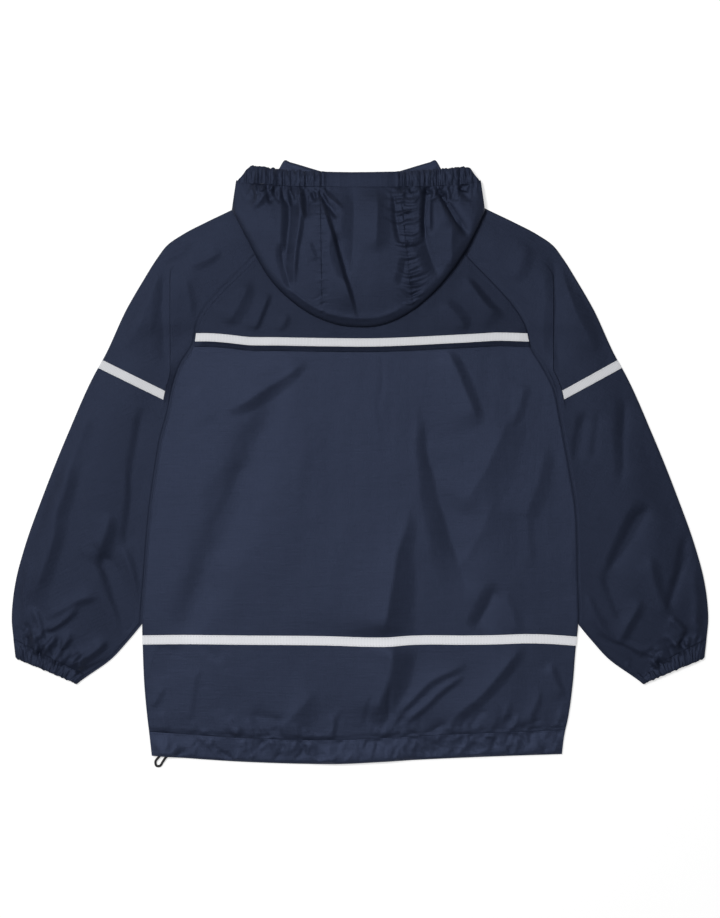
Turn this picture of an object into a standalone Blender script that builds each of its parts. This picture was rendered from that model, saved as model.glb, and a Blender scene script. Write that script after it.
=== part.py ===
"""Kids raincoat lying face down on a table: every cut piece is a wall of cloth of its own."""

import bpy
import numpy as np

# Everything is in millimetres, and "down" runs from the collar tips towards the hem.
MM = 0.001
TOP_Y = 302.4        # y of the collar tips
WALL = 1.0           # cloth wall
GAP = 0.3            # seams, and layers that lie on each other
LIFT = 1.5           # wall and room of one more layer
REST = 2 * WALL + GAP  # outer face of a back piece lying on its front piece

BODY_LOFT = 3.2
SLEEVE_LOFT = 3.0
CUFF_LOFT = 3.6
HOOD_LOFT = 8.0
HEM_LOFT = 2.4
EDGE_ROLL = 14.0     # width over which a panel's edge rolls down
HOOD_ROLL = 26.0
HOOD_INSET = 1.0     # the hidden half stops this far inside the pouch's fold
RIM_GAP = 0.8        # seam between the hood panels and the gathered rim

FRONT_LAP = 20.0     # the fronts lap this far past the centre line
LAP_RAMP = (-46.0, -22.0)  # x over which the left front climbs onto the right one
SLEEVE_LAP = 4.0     # the sleeve reaches this far under the body's edge
SLEEVE_FLAT = 2.5    # and lies flat for this much more beside it
UNDERARM = 464.0     # down at which the sleeve's edge leaves the body
SETTLED = (455.0, 490.0)   # down over which the body settles from the sleeves onto the fronts
TAPE = 9.2
YOKE_TAPE_WIDTH = 8.2
FLAP_MARGIN = 5.0    # cloth of the vent flap below its tape
VENT_TOP = 178.0     # hidden upper edge of the back body
HEM_CASING = 24.0
HEM_CORNER = 205.0   # half width at which the fronts' hem edge is read
CUFF_LENGTH = 16.0
CUFF_WIDTH = 75.0
FASTENING = 18.0     # width of the hook-and-loop strip
FASTENING_RUN = (560.0, 100.0)  # down of its foot and of its top
CORD = 2.5

BODY_COLUMNS = 27
SLEEVE_COLUMNS = 16
PLEAT_COLUMN = 11    # columns outside the sleeve's pleat
PLEAT_RISE = 2.2
PLEAT_OUT = {-1: 190.0, 1: 193.5}
CUFF_GATHERS = 13
RIM_GATHERS = 11
GATHER_RISE = 1.1

# Linear colours and roughness of each material.
NAVY = (0.028, 0.036, 0.067)
NAVY_DARK = (0.022, 0.028, 0.052)
SILVER = (0.66, 0.67, 0.70)
BLACK = (0.012, 0.012, 0.014)

# Raglan seam and side seam of the body: down, left half width, right half width.
BODY_SIDES = [
    (56.0, 68.0, 68.0),
    (98.0, 104.2, 109.0),
    (163.7, 161.6, 164.4),
    (189.0, 167.4, 171.5),
    (206.0, 178.0, 182.0),
    (230.0, 186.3, 193.9),
    (254.0, 191.2, 199.0),
    (283.5, 199.0, 204.5),
    (314.0, 204.0, 210.0),
    (342.0, 208.0, 214.5),
    (415.0, 214.5, 217.5),
    (470.0, 218.0, 218.0),
    (488.0, 217.5, 216.0),
    (524.0, 216.0, 213.0),
    (557.0, 213.0, 208.5),
    (577.0, 210.6, 204.3),
    (596.0, 208.4, 202.0),
]
# Hem edge: x, down.
HEM = [
    (-209.0, 596.0),
    (-106.0, 602.6),
    (-16.0, 604.0),
    (20.0, 602.2),
    (60.0, 600.0),
    (149.0, 596.2),
    (203.0, 594.4),
]
# Upper edges of the two body tapes: x, down.
LOW_TAPE = [
    (-218.0, 475.5),
    (-175.0, 475.0),
    (-115.0, 475.4),
    (-35.0, 476.1),
    (20.0, 477.2),
    (56.0, 475.4),
    (105.0, 475.4),
    (165.0, 474.1),
    (185.0, 474.5),
    (218.0, 476.8),
]
YOKE_TAPE = [
    (-168.0, 173.2),
    (-130.0, 175.0),
    (-113.0, 177.0),
    (-30.0, 178.4),
    (20.0, 178.5),
    (80.0, 175.9),
    (140.0, 172.7),
    (172.0, 173.4),
]
# Sleeve sections from the cuff seam to the neck: outer edge's half width and down, inner edge's down.
SLEEVE_SECTIONS = [
    (347.0, 479.0, 516.5),
    (348.7, 460.0, 501.0),
    (347.5, 440.0, 482.0),
    (344.0, 418.0, 464.0),
    (336.5, 390.0, 438.0),
    (317.0, 335.0, 375.0),
    (292.5, 274.0, 310.0),
    (262.2, 207.8, 245.3),
    (257.7, 200.0, 236.5),
    (232.0, 146.0, 190.0),
    (218.0, 122.0, 166.0),
    (203.0, 98.0, 146.0),
    (194.0, 86.0, 134.0),
    (177.0, 74.0, 116.0),
    (154.0, 62.0, 95.0),
    (129.0, 50.0, 74.0),
    (98.0, 34.0, 56.0),
]
TAPE_SECTIONS = (7, 8)
# Sleeve's lower edge past the underarm: down, half width.
UNDER_SLEEVE = [(464.0, 218.0), (482.0, 233.0), (501.0, 251.0), (516.5, 273.0)]
# Open end of the cuff: half width and down of its outer and inner corner.
CUFF_END = ((345.0, 498.0), (283.5, 524.0))
# Fold at the bottom of the hood's pouch: x, down.
HOOD_FOLD = [
    (-128.0, 50.0),
    (-113.4, 78.7),
    (-93.0, 115.4),
    (-65.2, 144.0),
    (-38.0, 160.0),
    (-4.4, 167.0),
    (26.6, 163.7),
    (61.0, 144.0),
    (86.3, 117.7),
    (109.3, 83.3),
    (124.9, 51.0),
]
# Hood rim: x and down of its open edge, then of its stitch line.
RIM_EDGE = [(-109.0, 5.6), (-81.0, 9.5), (-38.0, 12.0), (36.0, 11.8), (75.0, 9.5), (108.0, 6.6)]
RIM_SEAM = [(-123.8, 22.5), (-80.0, 26.0), (-38.0, 27.0), (40.0, 27.0), (80.0, 26.0), (120.7, 22.5)]
# Hood seams at the pouch fold and at the rim: x.
HOOD_SEAMS = {"left": (-38.0, -40.0), "right": (54.0, 40.0)}
# Upper edge of the hood's hidden half: x, down.
HOOD_NECK = [
    (-128.0, 42.0),
    (-90.0, 36.0),
    (-50.0, 48.0),
    (0.0, 51.0),
    (50.0, 48.0),
    (90.0, 36.0),
    (128.0, 42.0),
]
# Collar end: half width, down of its upper edge, down of its neck seam.
COLLAR = [
    (0.3, 20.0, 83.5),
    (34.5, 12.0, 71.0),
    (70.0, 1.6, 46.5),
    (76.0, 0.0, 42.0),
    (81.0, 8.0, 39.0),
    (90.0, 20.0, 35.0),
]
# Front neckline from the centre to the raglan seam: down, half width.
FRONT_NECK = [(56.0, 62.0), (66.0, 50.0), (78.0, 30.0), (88.0, -FRONT_LAP)]

# Folds: x and down of both ends, width, rise, lean (the steeper side is to the left of the run if positive).
BODY_FOLDS = [
    (-78.0, 196.0, -133.0, 246.0, 9.0, 2.6, 0.4),
    (-122.0, 296.0, -160.0, 372.0, 17.0, 2.2, 0.3),
    (88.0, 193.0, 112.0, 262.0, 10.0, 2.4, -0.3),
    (53.0, 240.0, 96.0, 392.0, 14.0, 2.2, 0.3),
    (56.0, 330.0, 26.0, 470.0, 16.0, 2.4, -0.4),
    (24.0, 570.0, 110.0, 492.0, 10.0, 2.8, 0.4),
    (85.0, 563.0, 158.0, 488.0, 10.0, 2.6, 0.4),
    (137.0, 430.0, 118.0, 472.0, 12.0, 1.8, 0.3),
    (-165.0, 516.0, -164.0, 560.0, 12.0, 1.6, 0.0),
    (-60.0, 250.0, -92.0, 420.0, 26.0, 1.6, 0.2),
    (170.0, 250.0, 190.0, 330.0, 12.0, 1.4, 0.0),
]
SLEEVE_FOLDS = [
    (-205.0, 112.0, -247.0, 196.0, 12.0, 2.4, 0.4),
    (-150.0, 92.0, -205.0, 96.0, 11.0, 1.8, 0.2),
    (-232.0, 250.0, -262.0, 390.0, 15.0, 1.8, 0.2),
    (-268.0, 392.0, -234.0, 474.0, 10.0, 2.8, 0.4),
    (-296.0, 400.0, -282.0, 500.0, 11.0, 2.2, -0.3),
    (-327.0, 436.0, -316.0, 486.0, 8.0, 2.0, 0.3),
    (204.0, 112.0, 247.0, 196.0, 12.0, 2.4, -0.4),
    (150.0, 92.0, 206.0, 98.0, 11.0, 1.8, -0.2),
    (230.0, 250.0, 270.0, 372.0, 15.0, 1.8, -0.2),
    (283.0, 366.0, 250.0, 424.0, 10.0, 2.6, 0.4),
    (331.0, 380.0, 306.0, 458.0, 10.0, 2.6, 0.3),
    (284.0, 430.0, 296.0, 500.0, 10.0, 2.2, 0.0),
]
HOOD_FOLDS = [
    (-34.0, 58.0, -5.0, 160.0, 10.0, 3.4, 0.4),
    (-72.0, 30.0, -70.0, 140.0, 9.0, 2.6, 0.4),
    (-92.0, 28.0, -112.0, 60.0, 8.0, 2.2, 0.3),
    (68.0, 28.0, 112.0, 78.0, 8.0, 3.0, -0.3),
    (64.0, 44.0, 62.0, 92.0, 8.0, 2.4, 0.3),
    (76.0, 76.0, 82.0, 110.0, 9.0, 2.0, 0.0),
    (70.0, 132.0, 14.0, 158.0, 8.0, 2.0, 0.3),
]

# Free loop of the hem cord: x, down, height of its centre line.
CORD_ROUTE = [
    (-188.5, 589.6, 2.65),
    (-196.0, 593.0, 2.65),
    (-202.0, 598.0, 2.4),
    (-204.9, 602.5, 1.5),
    (-203.6, 606.4, 1.3),
    (-200.6, 606.4, 1.3),
    (-197.6, 602.4, 1.5),
    (-194.6, 598.0, 2.4),
    (-188.5, 594.0, 2.65),
]
CORD_POINTS = 26


def ease(share):
    share = np.clip(share, 0.0, 1.0)
    return share * share * (3 - 2 * share)


def swell(share):
    """Quarter-round rise from 0 to 1."""
    share = np.clip(share, 0.0, 1.0)
    return np.sqrt(1 - (1 - share) ** 2)


def mix(start, end, share):
    return start + (end - start) * share


def through(rows, place):
    """Smooth curve through a table's (place, value) rows."""
    places, values = np.array(rows, dtype=float).T
    slopes = np.gradient(values, places)
    place = np.clip(place, places[0], places[-1])
    left = np.clip(np.searchsorted(places, place) - 1, 0, len(places) - 2)
    span = places[left + 1] - places[left]
    share = (place - places[left]) / span
    blend = ease(share)
    leave = share * (1 - share) ** 2 * span * slopes[left]
    arrive = share ** 2 * (1 - share) * span * slopes[left + 1]
    return mix(values[left], values[left + 1], blend) + leave - arrive


def banded(share, counts, values):
    """Value at a share of a panel whose key values are parted by the given counts of cells."""
    marks = np.cumsum([0] + counts) / sum(counts)
    return np.interp(share, marks, values)


def folds_at(folds, x, down):
    """Sum of the soft folds at a point; each rises from its ends to its middle."""
    total = 0.0
    for x0, down0, x1, down1, width, rise, lean in folds:
        run_x = x1 - x0
        run_down = down1 - down0
        length = np.hypot(run_x, run_down)
        along = ((x - x0) * run_x + (down - down0) * run_down) / length ** 2
        across = ((x - x0) * run_down - (down - down0) * run_x) / length
        spread = width * (1 - lean * np.sign(across))
        total = total + rise * np.sin(np.pi * np.clip(along, 0, 1)) ** 0.7 * np.exp(-(across / spread) ** 2)
    return total


# Body

def side_of(x):
    return -1 if x < 0 else 1


def body_half(side, down):
    column = 1 if side < 0 else 2
    return through([(row[0], row[column]) for row in BODY_SIDES], down)


def hem_edge(x):
    return through(HEM, x)


def front_rise(x):
    """Room that the lapped fronts and their fastening take at the centre."""
    foot, top = LAP_RAMP
    return 2 * LIFT * np.clip((abs(x) + foot - 6) / (foot - top - 2), 0.0, 1.0)


def body_height(x, down):
    side = side_of(x)
    inward = body_half(side, down) - abs(x)
    foot, settled = SETTLED
    edge = REST + LIFT * (1 - ease((down - foot) / (settled - foot)))
    folds = folds_at(BODY_FOLDS, x, down) * ease(inward / EDGE_ROLL)
    height = edge + BODY_LOFT * swell(inward / EDGE_ROLL) + folds
    return max(height, REST + front_rise(x))


def body_point(across, counts, lines, share):
    """Point of a body panel: its rows run between the given lines, its ends on the body's sides."""
    bend = across - 0.045 * np.sin(2 * np.pi * across)
    x = 0.0
    for _ in range(3):
        down = banded(share, counts, [line(x) for line in lines])
        x = mix(-body_half(-1, down), body_half(1, down), bend)
    return x, down


BODY_BANDS = [7, 1, 19]
BODY_LINES = [
    lambda x: hem_edge(x) - HEM_CASING - GAP,
    lambda x: through(LOW_TAPE, x) + TAPE,
    lambda x: through(LOW_TAPE, x),
    lambda x: VENT_TOP,
]
YOKE_BANDS = [1, 1, 10]
YOKE_LINES = [
    lambda x: through(YOKE_TAPE, x) + YOKE_TAPE_WIDTH + FLAP_MARGIN,
    lambda x: through(YOKE_TAPE, x) + YOKE_TAPE_WIDTH,
    lambda x: through(YOKE_TAPE, x),
    lambda x: 56.0 - 5.0 * max(0.0, 1 - (x / 68.0) ** 2),
]


def back_body(across, share):
    x, down = body_point(across, BODY_BANDS, BODY_LINES, share)
    return x, down, body_height(x, down)


def back_yoke(across, share):
    x, down = body_point(across, YOKE_BANDS, YOKE_LINES, share)
    return x, down, body_height(x, down) + LIFT


def strip_of(surface, counts, band, reach=1.0):
    """Tape over one band of a panel, made from the panel's own points, moved out."""
    marks = np.cumsum([0] + counts) / sum(counts)

    def tape(across, share):
        x, down, height = surface(across * reach, mix(marks[band], marks[band + 1], share))
        return x, down, height + LIFT

    return tape


def back_hem(across, share):
    x = mix(-209.5, 203.0, across)
    down = hem_edge(x) - HEM_CASING * share
    x = mix(-body_half(-1, down), body_half(1, down), across)
    pucker = 0.5 * np.sin(0.55 * x) * np.sin(0.085 * x + 1.0)
    mouth = 1.3 * CORD * np.exp(-((x + 195.0) / 13.0) ** 2) * (1 - 0.7 * share)
    arch = HEM_LOFT * np.sin(np.pi * mix(0.0, 0.86, share)) * ease((body_half(side_of(x), down) - abs(x)) / 9)
    return x, down, REST + front_rise(x) + arch + mouth + pucker * np.sin(np.pi * share)


# Sleeves

SLEEVE_TABLE = np.array(SLEEVE_SECTIONS)
SLEEVE_RUN = np.concatenate([[0.0], np.cumsum(np.hypot(*np.diff(SLEEVE_TABLE[:, :2], axis=0).T))])
SLEEVE_BANDS = [13, 1, 10]
SLEEVE_KEYS = [SLEEVE_RUN[0], SLEEVE_RUN[TAPE_SECTIONS[0]], SLEEVE_RUN[TAPE_SECTIONS[1]], SLEEVE_RUN[-1]]
SLEEVE_ROWS = sum(SLEEVE_BANDS)


def section_at(share):
    """Outer half width, outer down and inner down of the sleeve's section at a share of its length."""
    run = banded(share, SLEEVE_BANDS, SLEEVE_KEYS)
    return [through(list(zip(SLEEVE_RUN, column)), run) for column in SLEEVE_TABLE.T]


def sleeve_inner(side, down, reach):
    """Half width of the sleeve's inner edge; it reaches under the body's side by the given length."""
    if down < UNDERARM:
        return body_half(side, down) - reach * (1 - ease((down - UNDERARM + 34) / 34))
    return through(UNDER_SLEEVE, down)


def pleat_share(across, fold, flat):
    """Share across the sleeve, with a narrow column at its pleat's step and one along its inner edge."""
    step = 0.012
    marks = [0.0, PLEAT_COLUMN, PLEAT_COLUMN + 1, SLEEVE_COLUMNS - 1, SLEEVE_COLUMNS]
    return np.interp(across * SLEEVE_COLUMNS, marks, [0.0, fold - step, fold + step, 1 - flat, 1.0])


def back_sleeve(side):
    def surface(from_outer, share):
        outer, outer_down, inner_down = section_at(share)
        inner = sleeve_inner(side, inner_down, SLEEVE_LAP)
        width = np.hypot(outer - inner, outer_down - inner_down)
        flat = (SLEEVE_LAP * (inner_down < UNDERARM) + SLEEVE_FLAT) / width
        fold = np.clip((outer - PLEAT_OUT[side]) / (outer - inner), 0.55, 0.93 - flat)
        place = pleat_share(from_outer, fold, flat)
        out = mix(outer, inner, place)
        down = mix(outer_down, inner_down, place)
        inward = min(place, 1 - place - flat) * width
        edge = REST + LIFT * (1 - ease((down - 160) / 18)) * ease(place * width / 40)
        pleat = 0.0
        if place > fold:
            reach = ease((down - 100) / 30) * (1 - ease((down - 222) / 30))
            pleat = PLEAT_RISE * reach * max(0.0, 1 - place - flat) / (1 - fold - flat)
        folds = folds_at(SLEEVE_FOLDS, side * out, down) * ease(inward / EDGE_ROLL)
        return side * out, down, edge + SLEEVE_LOFT * swell(inward / EDGE_ROLL) + pleat + folds

    return surface


def sided(side, surface):
    """Runs a surface given from its outer edge inwards from left to right instead."""
    return lambda across, share: surface(across if side < 0 else 1 - across, share)


def front_sleeve(side):
    def surface(from_outer, share):
        outer, outer_down, inner_down = section_at(share)
        inner = sleeve_inner(side, inner_down, -0.5)
        return side * mix(outer, inner, from_outer), mix(outer_down, inner_down, from_outer), WALL

    return surface


def gather(share, count):
    """Height of uneven gathers along a casing, between -1 and 1."""
    uneven = share + 0.012 * np.sin(17.0 * share) + 0.007 * np.sin(41.0 * share + 1.3)
    return np.cos(2 * np.pi * count * uneven) * (0.75 + 0.25 * np.sin(23.0 * share + 0.6))


def cuff(side, back):
    def surface(from_outer, share):
        outer, outer_down, inner_down = section_at(0.0)
        inner = sleeve_inner(side, inner_down, 0.0)
        (end_outer, end_outer_down), (end_inner, end_inner_down) = CUFF_END
        seam = share * (1 - 1.6 * GAP / CUFF_LENGTH)
        out = mix(mix(end_outer, end_inner, from_outer), mix(outer, inner, from_outer), seam)
        seam_down = mix(outer_down, inner_down, from_outer)
        down = mix(mix(end_outer_down, end_inner_down, from_outer), seam_down, seam)
        if not back:
            return side * out, down, WALL
        inward = min(from_outer, 1 - from_outer) * CUFF_WIDTH
        wave = GATHER_RISE * gather(from_outer, CUFF_GATHERS) * ease(inward / 6)
        arch = CUFF_LOFT * swell(inward / EDGE_ROLL) * (0.8 + 0.2 * np.sin(np.pi * share))
        return side * out, down - 0.5 * wave * (1 - share), REST + arch + wave

    return surface


# Fronts, in the layer on the table

def front_rows():
    """Downs of the fronts' rows, which share the sleeves' own stations along the raglan seam."""
    stations = [section_at(row / SLEEVE_ROWS)[2] for row in range(SLEEVE_ROWS + 1)]
    return [540.0, 500.0, UNDERARM] + [down for down in stations if down < UNDERARM]


FRONT_ROWS = front_rows()


def front_x(side, from_outer, outer, inner):
    """x across a front; the left one has a column for its ramp and one for its lap."""
    if side > 0:
        return mix(outer, inner, from_outer)
    foot, top = (min(x, -inner) for x in LAP_RAMP)
    return np.interp(from_outer, [0.0, 0.5, 0.75, 1.0], [-outer, foot, top, -inner])


def front_height(side, x):
    """The left front lies over the right one at the centre."""
    lap = np.interp(x, LAP_RAMP, [0.0, 2 * LIFT]) if side < 0 else 0.0
    return WALL + lap


def front(side):
    def surface(from_outer, share):
        row = int(round(share * len(FRONT_ROWS)))
        down = FRONT_ROWS[max(row - 1, 0)]
        if row == 0:
            down = hem_edge(side * HEM_CORNER) - HEM_CASING - GAP
        x = front_x(side, from_outer, body_half(side, down), through(FRONT_NECK, down))
        if row == 0:
            down = hem_edge(x) - HEM_CASING - GAP
        return x, down, front_height(side, x)

    return surface


def front_hem(side):
    def surface(from_outer, share):
        outer = body_half(side, hem_edge(side * HEM_CORNER) - HEM_CASING * share)
        x = front_x(side, from_outer, outer, -FRONT_LAP)
        return x, hem_edge(x) - HEM_CASING * share, front_height(side, x)

    return surface


def front_fastening(across, share):
    return FASTENING * (across - 0.5), mix(*FASTENING_RUN, share), WALL + LIFT


def collar(side):
    def surface(from_outer, share):
        half = mix(90.0, 0.3, from_outer)
        upper = through([(row[0], row[1]) for row in COLLAR], half)
        lower = through([(row[0], row[2]) for row in COLLAR], half)
        down = mix(lower, upper, share)
        round_edge = swell((down - upper) / 12) * swell((90.0 - half) / 14) * swell((lower - down) / 20)
        return side * half, down, WALL + 2.0 * round_edge

    return surface


# Hood

def hood_floor(down):
    """Height of the coat that the hood's pouch lies on."""
    return mix(2.4, 8.9, ease((down - 12) / 66))


def hood_inward(x, down):
    """Distance from the pouch's outline."""
    slope = (through(HOOD_FOLD, x + 1) - through(HOOD_FOLD, x - 1)) / 2
    below = (through(HOOD_FOLD, x) - down) / np.sqrt(1 + slope ** 2)
    return max(0.0, min(below, x + 127.5, 124.5 - x))


def hood_height(x, down):
    loft = HOOD_LOFT * (0.45 + 0.55 * ease((down - 10) / 50))
    round_edge = swell(hood_inward(x, down) / HOOD_ROLL)
    return hood_floor(down) + REST + (loft + folds_at(HOOD_FOLDS, x, down)) * round_edge


def hood_panel(fold_span, rim_span):
    """Outer half of a hood panel, between x positions at the pouch fold and at the rim."""
    def surface(across, share):
        share = ease(share) * 0.35 + share * 0.65
        fold_x = mix(*fold_span, across)
        rim_x = mix(*rim_span, across)
        x = mix(fold_x, rim_x, share)
        down = mix(through(HOOD_FOLD, fold_x), through(RIM_SEAM, rim_x) + RIM_GAP, share)
        return x, down, hood_height(x, down)

    return surface


def hood_under(fold_span):
    """Hidden half of a hood panel, from the pouch fold to the neck seam."""
    def surface(across, share):
        fold_x = mix(*fold_span, across)
        x = fold_x * (1 - HOOD_INSET / 128.0)
        down = mix(through(HOOD_FOLD, fold_x) - HOOD_INSET, through(HOOD_NECK, x), share)
        inward = hood_inward(x, down) / HOOD_ROLL
        loft = 0.5 * HOOD_LOFT * (0.3 + 0.7 * ease((down - 20) / 50)) * ease(inward)
        return x, down, hood_floor(down) + WALL + GAP + loft

    return surface


def hood_rim(across, share):
    edge_x = mix(RIM_EDGE[0][0], RIM_EDGE[-1][0], across)
    seam_x = mix(RIM_SEAM[0][0], RIM_SEAM[-1][0], across)
    x = mix(seam_x, edge_x, share)
    down = mix(through(RIM_SEAM, seam_x), through(RIM_EDGE, edge_x), share)
    reach = max(0.0, (abs(x) - 36) / 80)
    wave = GATHER_RISE * gather(reach, RIM_GATHERS) * ease(reach * 10) * ease((116 - abs(x)) / 5)
    roll = 1.6 * share ** 2
    return x, down - 0.5 * wave * share, hood_height(x, down) - roll + wave


# Making the pieces

def material(name, colour, roughness):
    made = bpy.data.materials.new(name)
    made.use_nodes = True
    shader = made.node_tree.nodes["Principled BSDF"]
    shader.inputs["Base Color"].default_value = (*colour, 1.0)
    shader.inputs["Roughness"].default_value = roughness
    shader.inputs["Metallic"].default_value = 0.0
    made.diffuse_color = (*colour, 1.0)
    return made


def own(piece, name, colour, roughness):
    """Names a piece, gives it its material and moves it to the coat's collection."""
    piece.name = name
    piece.data.name = name
    piece.data.materials.append(material(name, colour, roughness))
    for collection in list(piece.users_collection):
        collection.objects.unlink(piece)
    coat.objects.link(piece)


def panel(name, columns, rows, surface, colour=NAVY, roughness=0.55, wall=WALL):
    """Wall of cloth under a surface; the grid's x runs left to right and its y from hem to neck."""
    bpy.ops.mesh.primitive_grid_add(x_subdivisions=columns, y_subdivisions=rows, size=1.0)
    piece = bpy.context.object
    for vertex in piece.data.vertices:
        x, down, height = surface(vertex.co.x + 0.5, vertex.co.y + 0.5)
        vertex.co = (x * MM, (TOP_Y - down) * MM, height * MM)
    own(piece, name, colour, roughness)
    piece.data.shade_smooth()
    cloth = piece.modifiers.new("Wall", "SOLIDIFY")
    cloth.thickness = wall * MM
    cloth.offset = -1.0
    return piece


def cord_loop():
    """Round elastic cord along its route."""
    route = np.array(CORD_ROUTE)
    run = np.concatenate([[0.0], np.cumsum(np.linalg.norm(np.diff(route, axis=0), axis=1))])
    curve = bpy.data.curves.new("hem_cord", "CURVE")
    curve.dimensions = "3D"
    curve.bevel_depth = CORD / 2 * MM
    curve.bevel_resolution = 2
    curve.use_fill_caps = True
    spline = curve.splines.new("POLY")
    spline.points.add(CORD_POINTS - 1)
    for index, point in enumerate(spline.points):
        place = run[-1] * index / (CORD_POINTS - 1)
        x, down, height = [through(list(zip(run, column)), place) for column in route.T]
        point.co = (x * MM, (TOP_Y - down) * MM, height * MM, 1.0)
    cord = bpy.data.objects.new("hem_cord", curve)
    bpy.context.scene.collection.objects.link(cord)
    own(cord, "hem_cord", BLACK, 0.6)


for leftover in list(bpy.data.objects):
    bpy.data.objects.remove(leftover)
coat = bpy.data.collections.new("kids_raincoat")
bpy.context.scene.collection.children.link(coat)

panel("back_body", BODY_COLUMNS, sum(BODY_BANDS), back_body)
panel("back_yoke", BODY_COLUMNS, sum(YOKE_BANDS), back_yoke)
panel("back_hem", 60, 3, back_hem)
panel("body_tape", BODY_COLUMNS, 1, strip_of(back_body, BODY_BANDS, 1), SILVER, 0.4)
panel("yoke_tape", BODY_COLUMNS, 1, strip_of(back_yoke, YOKE_BANDS, 1), SILVER, 0.4)
panel("front_fastening", 2, 12, front_fastening, NAVY_DARK, 0.8)

for side, word in ((-1, "left"), (1, "right")):
    sleeve = back_sleeve(side)
    tape = strip_of(sleeve, SLEEVE_BANDS, 1, PLEAT_COLUMN / SLEEVE_COLUMNS)
    panel(f"{word}_sleeve_back", SLEEVE_COLUMNS, SLEEVE_ROWS, sided(side, sleeve))
    panel(f"{word}_sleeve_tape", PLEAT_COLUMN, 1, sided(side, tape), SILVER, 0.4)
    panel(f"{word}_sleeve_front", 2, SLEEVE_ROWS, sided(side, front_sleeve(side)), NAVY_DARK)
    panel(f"{word}_cuff_back", CUFF_GATHERS * 4, 2, sided(side, cuff(side, True)))
    panel(f"{word}_cuff_front", 2, 1, sided(side, cuff(side, False)), NAVY_DARK)
    panel(f"{word}_front", 4, len(FRONT_ROWS), sided(side, front(side)), NAVY_DARK)
    panel(f"{word}_front_hem", 4, 1, sided(side, front_hem(side)), NAVY_DARK)
    panel(f"{word}_collar", 10, 6, sided(side, collar(side)))

seam_left = HOOD_SEAMS["left"]
seam_right = HOOD_SEAMS["right"]
HOOD_SPANS = {
    "left": ((-128.0, seam_left[0] - GAP), (RIM_SEAM[0][0], seam_left[1] - GAP), 9),
    "centre": ((seam_left[0], seam_right[0]), (seam_left[1], seam_right[1]), 8),
    "right": ((seam_right[0] + GAP, 124.9), (seam_right[1] + GAP, RIM_SEAM[-1][0]), 8),
}
for word, (fold_span, rim_span, columns) in HOOD_SPANS.items():
    panel(f"hood_{word}", columns, 12, hood_panel(fold_span, rim_span))
    panel(f"hood_{word}_under", columns, 5, hood_under(fold_span), NAVY_DARK)
panel("hood_rim", 100, 2, hood_rim)
cord_loop()
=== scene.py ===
import math

import bpy
import numpy as np
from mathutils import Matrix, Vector


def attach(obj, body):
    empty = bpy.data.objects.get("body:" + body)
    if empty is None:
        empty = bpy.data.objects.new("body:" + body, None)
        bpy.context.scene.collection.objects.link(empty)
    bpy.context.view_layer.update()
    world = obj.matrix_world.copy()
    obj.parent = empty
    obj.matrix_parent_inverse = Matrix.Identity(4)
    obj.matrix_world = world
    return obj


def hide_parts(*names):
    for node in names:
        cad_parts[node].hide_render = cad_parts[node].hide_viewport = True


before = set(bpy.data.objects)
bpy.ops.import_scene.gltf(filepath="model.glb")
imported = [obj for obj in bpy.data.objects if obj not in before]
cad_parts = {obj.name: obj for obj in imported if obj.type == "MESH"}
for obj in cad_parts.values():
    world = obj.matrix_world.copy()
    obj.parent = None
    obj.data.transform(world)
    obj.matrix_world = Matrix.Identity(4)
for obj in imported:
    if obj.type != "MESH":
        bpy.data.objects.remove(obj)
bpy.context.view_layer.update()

# Studio: the coat lies on a white table under one large soft light from the upper left and a weaker
# one from the right, and the camera looks straight down on it.
MM = 0.001
TOP_Y = 302.4               # y of the collar tips; "down" runs from there towards the hem
COAT_MIDDLE = 299.0         # down of the middle of the view
VIEW_LENGTH = 918.0         # length of the table that the view takes in
CAMERA_HEIGHT = 2300.0
COAT_FACE = 5.0             # height at which the view is that long
SENSOR = 36.0
AIR_LIGHT = 0.22            # white light from all around
TABLE_SIZE = 12.0           # metres
TABLE_WHITE = 0.60
TABLE_GLOW = 0.56

bpy.ops.object.camera_add(location=(0, (TOP_Y - COAT_MIDDLE) * MM, CAMERA_HEIGHT * MM), rotation=(0, 0, 0))
camera = bpy.context.object
camera.name = "camera"
camera.data.sensor_width = SENSOR
camera.data.lens = SENSOR * (CAMERA_HEIGHT - COAT_FACE) / VIEW_LENGTH
camera.data.clip_end = 20.0
bpy.context.scene.camera = camera
bpy.context.scene.view_settings.view_transform = "Standard"

STUDIO_LIGHTS = [
    # name, x, y, z, size, watts
    ("key_light", -1080.0, 820.0, 2950.0, 1000.0, 68.0),
    ("fill_light", 2200.0, -500.0, 2700.0, 2400.0, 6.0),
]
for name, x, y, z, size, watts in STUDIO_LIGHTS:
    aim = Vector((x, y, z)).to_track_quat("Z", "Y").to_euler()
    bpy.ops.object.light_add(type="AREA", location=(x * MM, y * MM, z * MM), rotation=aim)
    lamp = bpy.context.object
    lamp.name = name
    lamp.data.size = size * MM
    lamp.data.energy = watts

world = bpy.data.worlds.new("studio")
bpy.context.scene.world = world
world.use_nodes = True
air = world.node_tree.nodes["Background"]
air.inputs["Color"].default_value = (1.0, 1.0, 1.0, 1.0)
air.inputs["Strength"].default_value = AIR_LIGHT

bpy.ops.mesh.primitive_plane_add(size=TABLE_SIZE, location=(0, 0, 0))
table = bpy.context.object
table.name = "table"
table_paint = bpy.data.materials.new("table_paint")
table_paint.use_nodes = True
table_shader = table_paint.node_tree.nodes["Principled BSDF"]
table_shader.inputs["Base Color"].default_value = (TABLE_WHITE, TABLE_WHITE, TABLE_WHITE, 1.0)
table_shader.inputs["Roughness"].default_value = 0.9
table_shader.inputs["Emission Color"].default_value = (1.0, 1.0, 1.0, 1.0)
table_shader.inputs["Emission Strength"].default_value = TABLE_GLOW
table.data.materials.append(table_paint)


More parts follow.
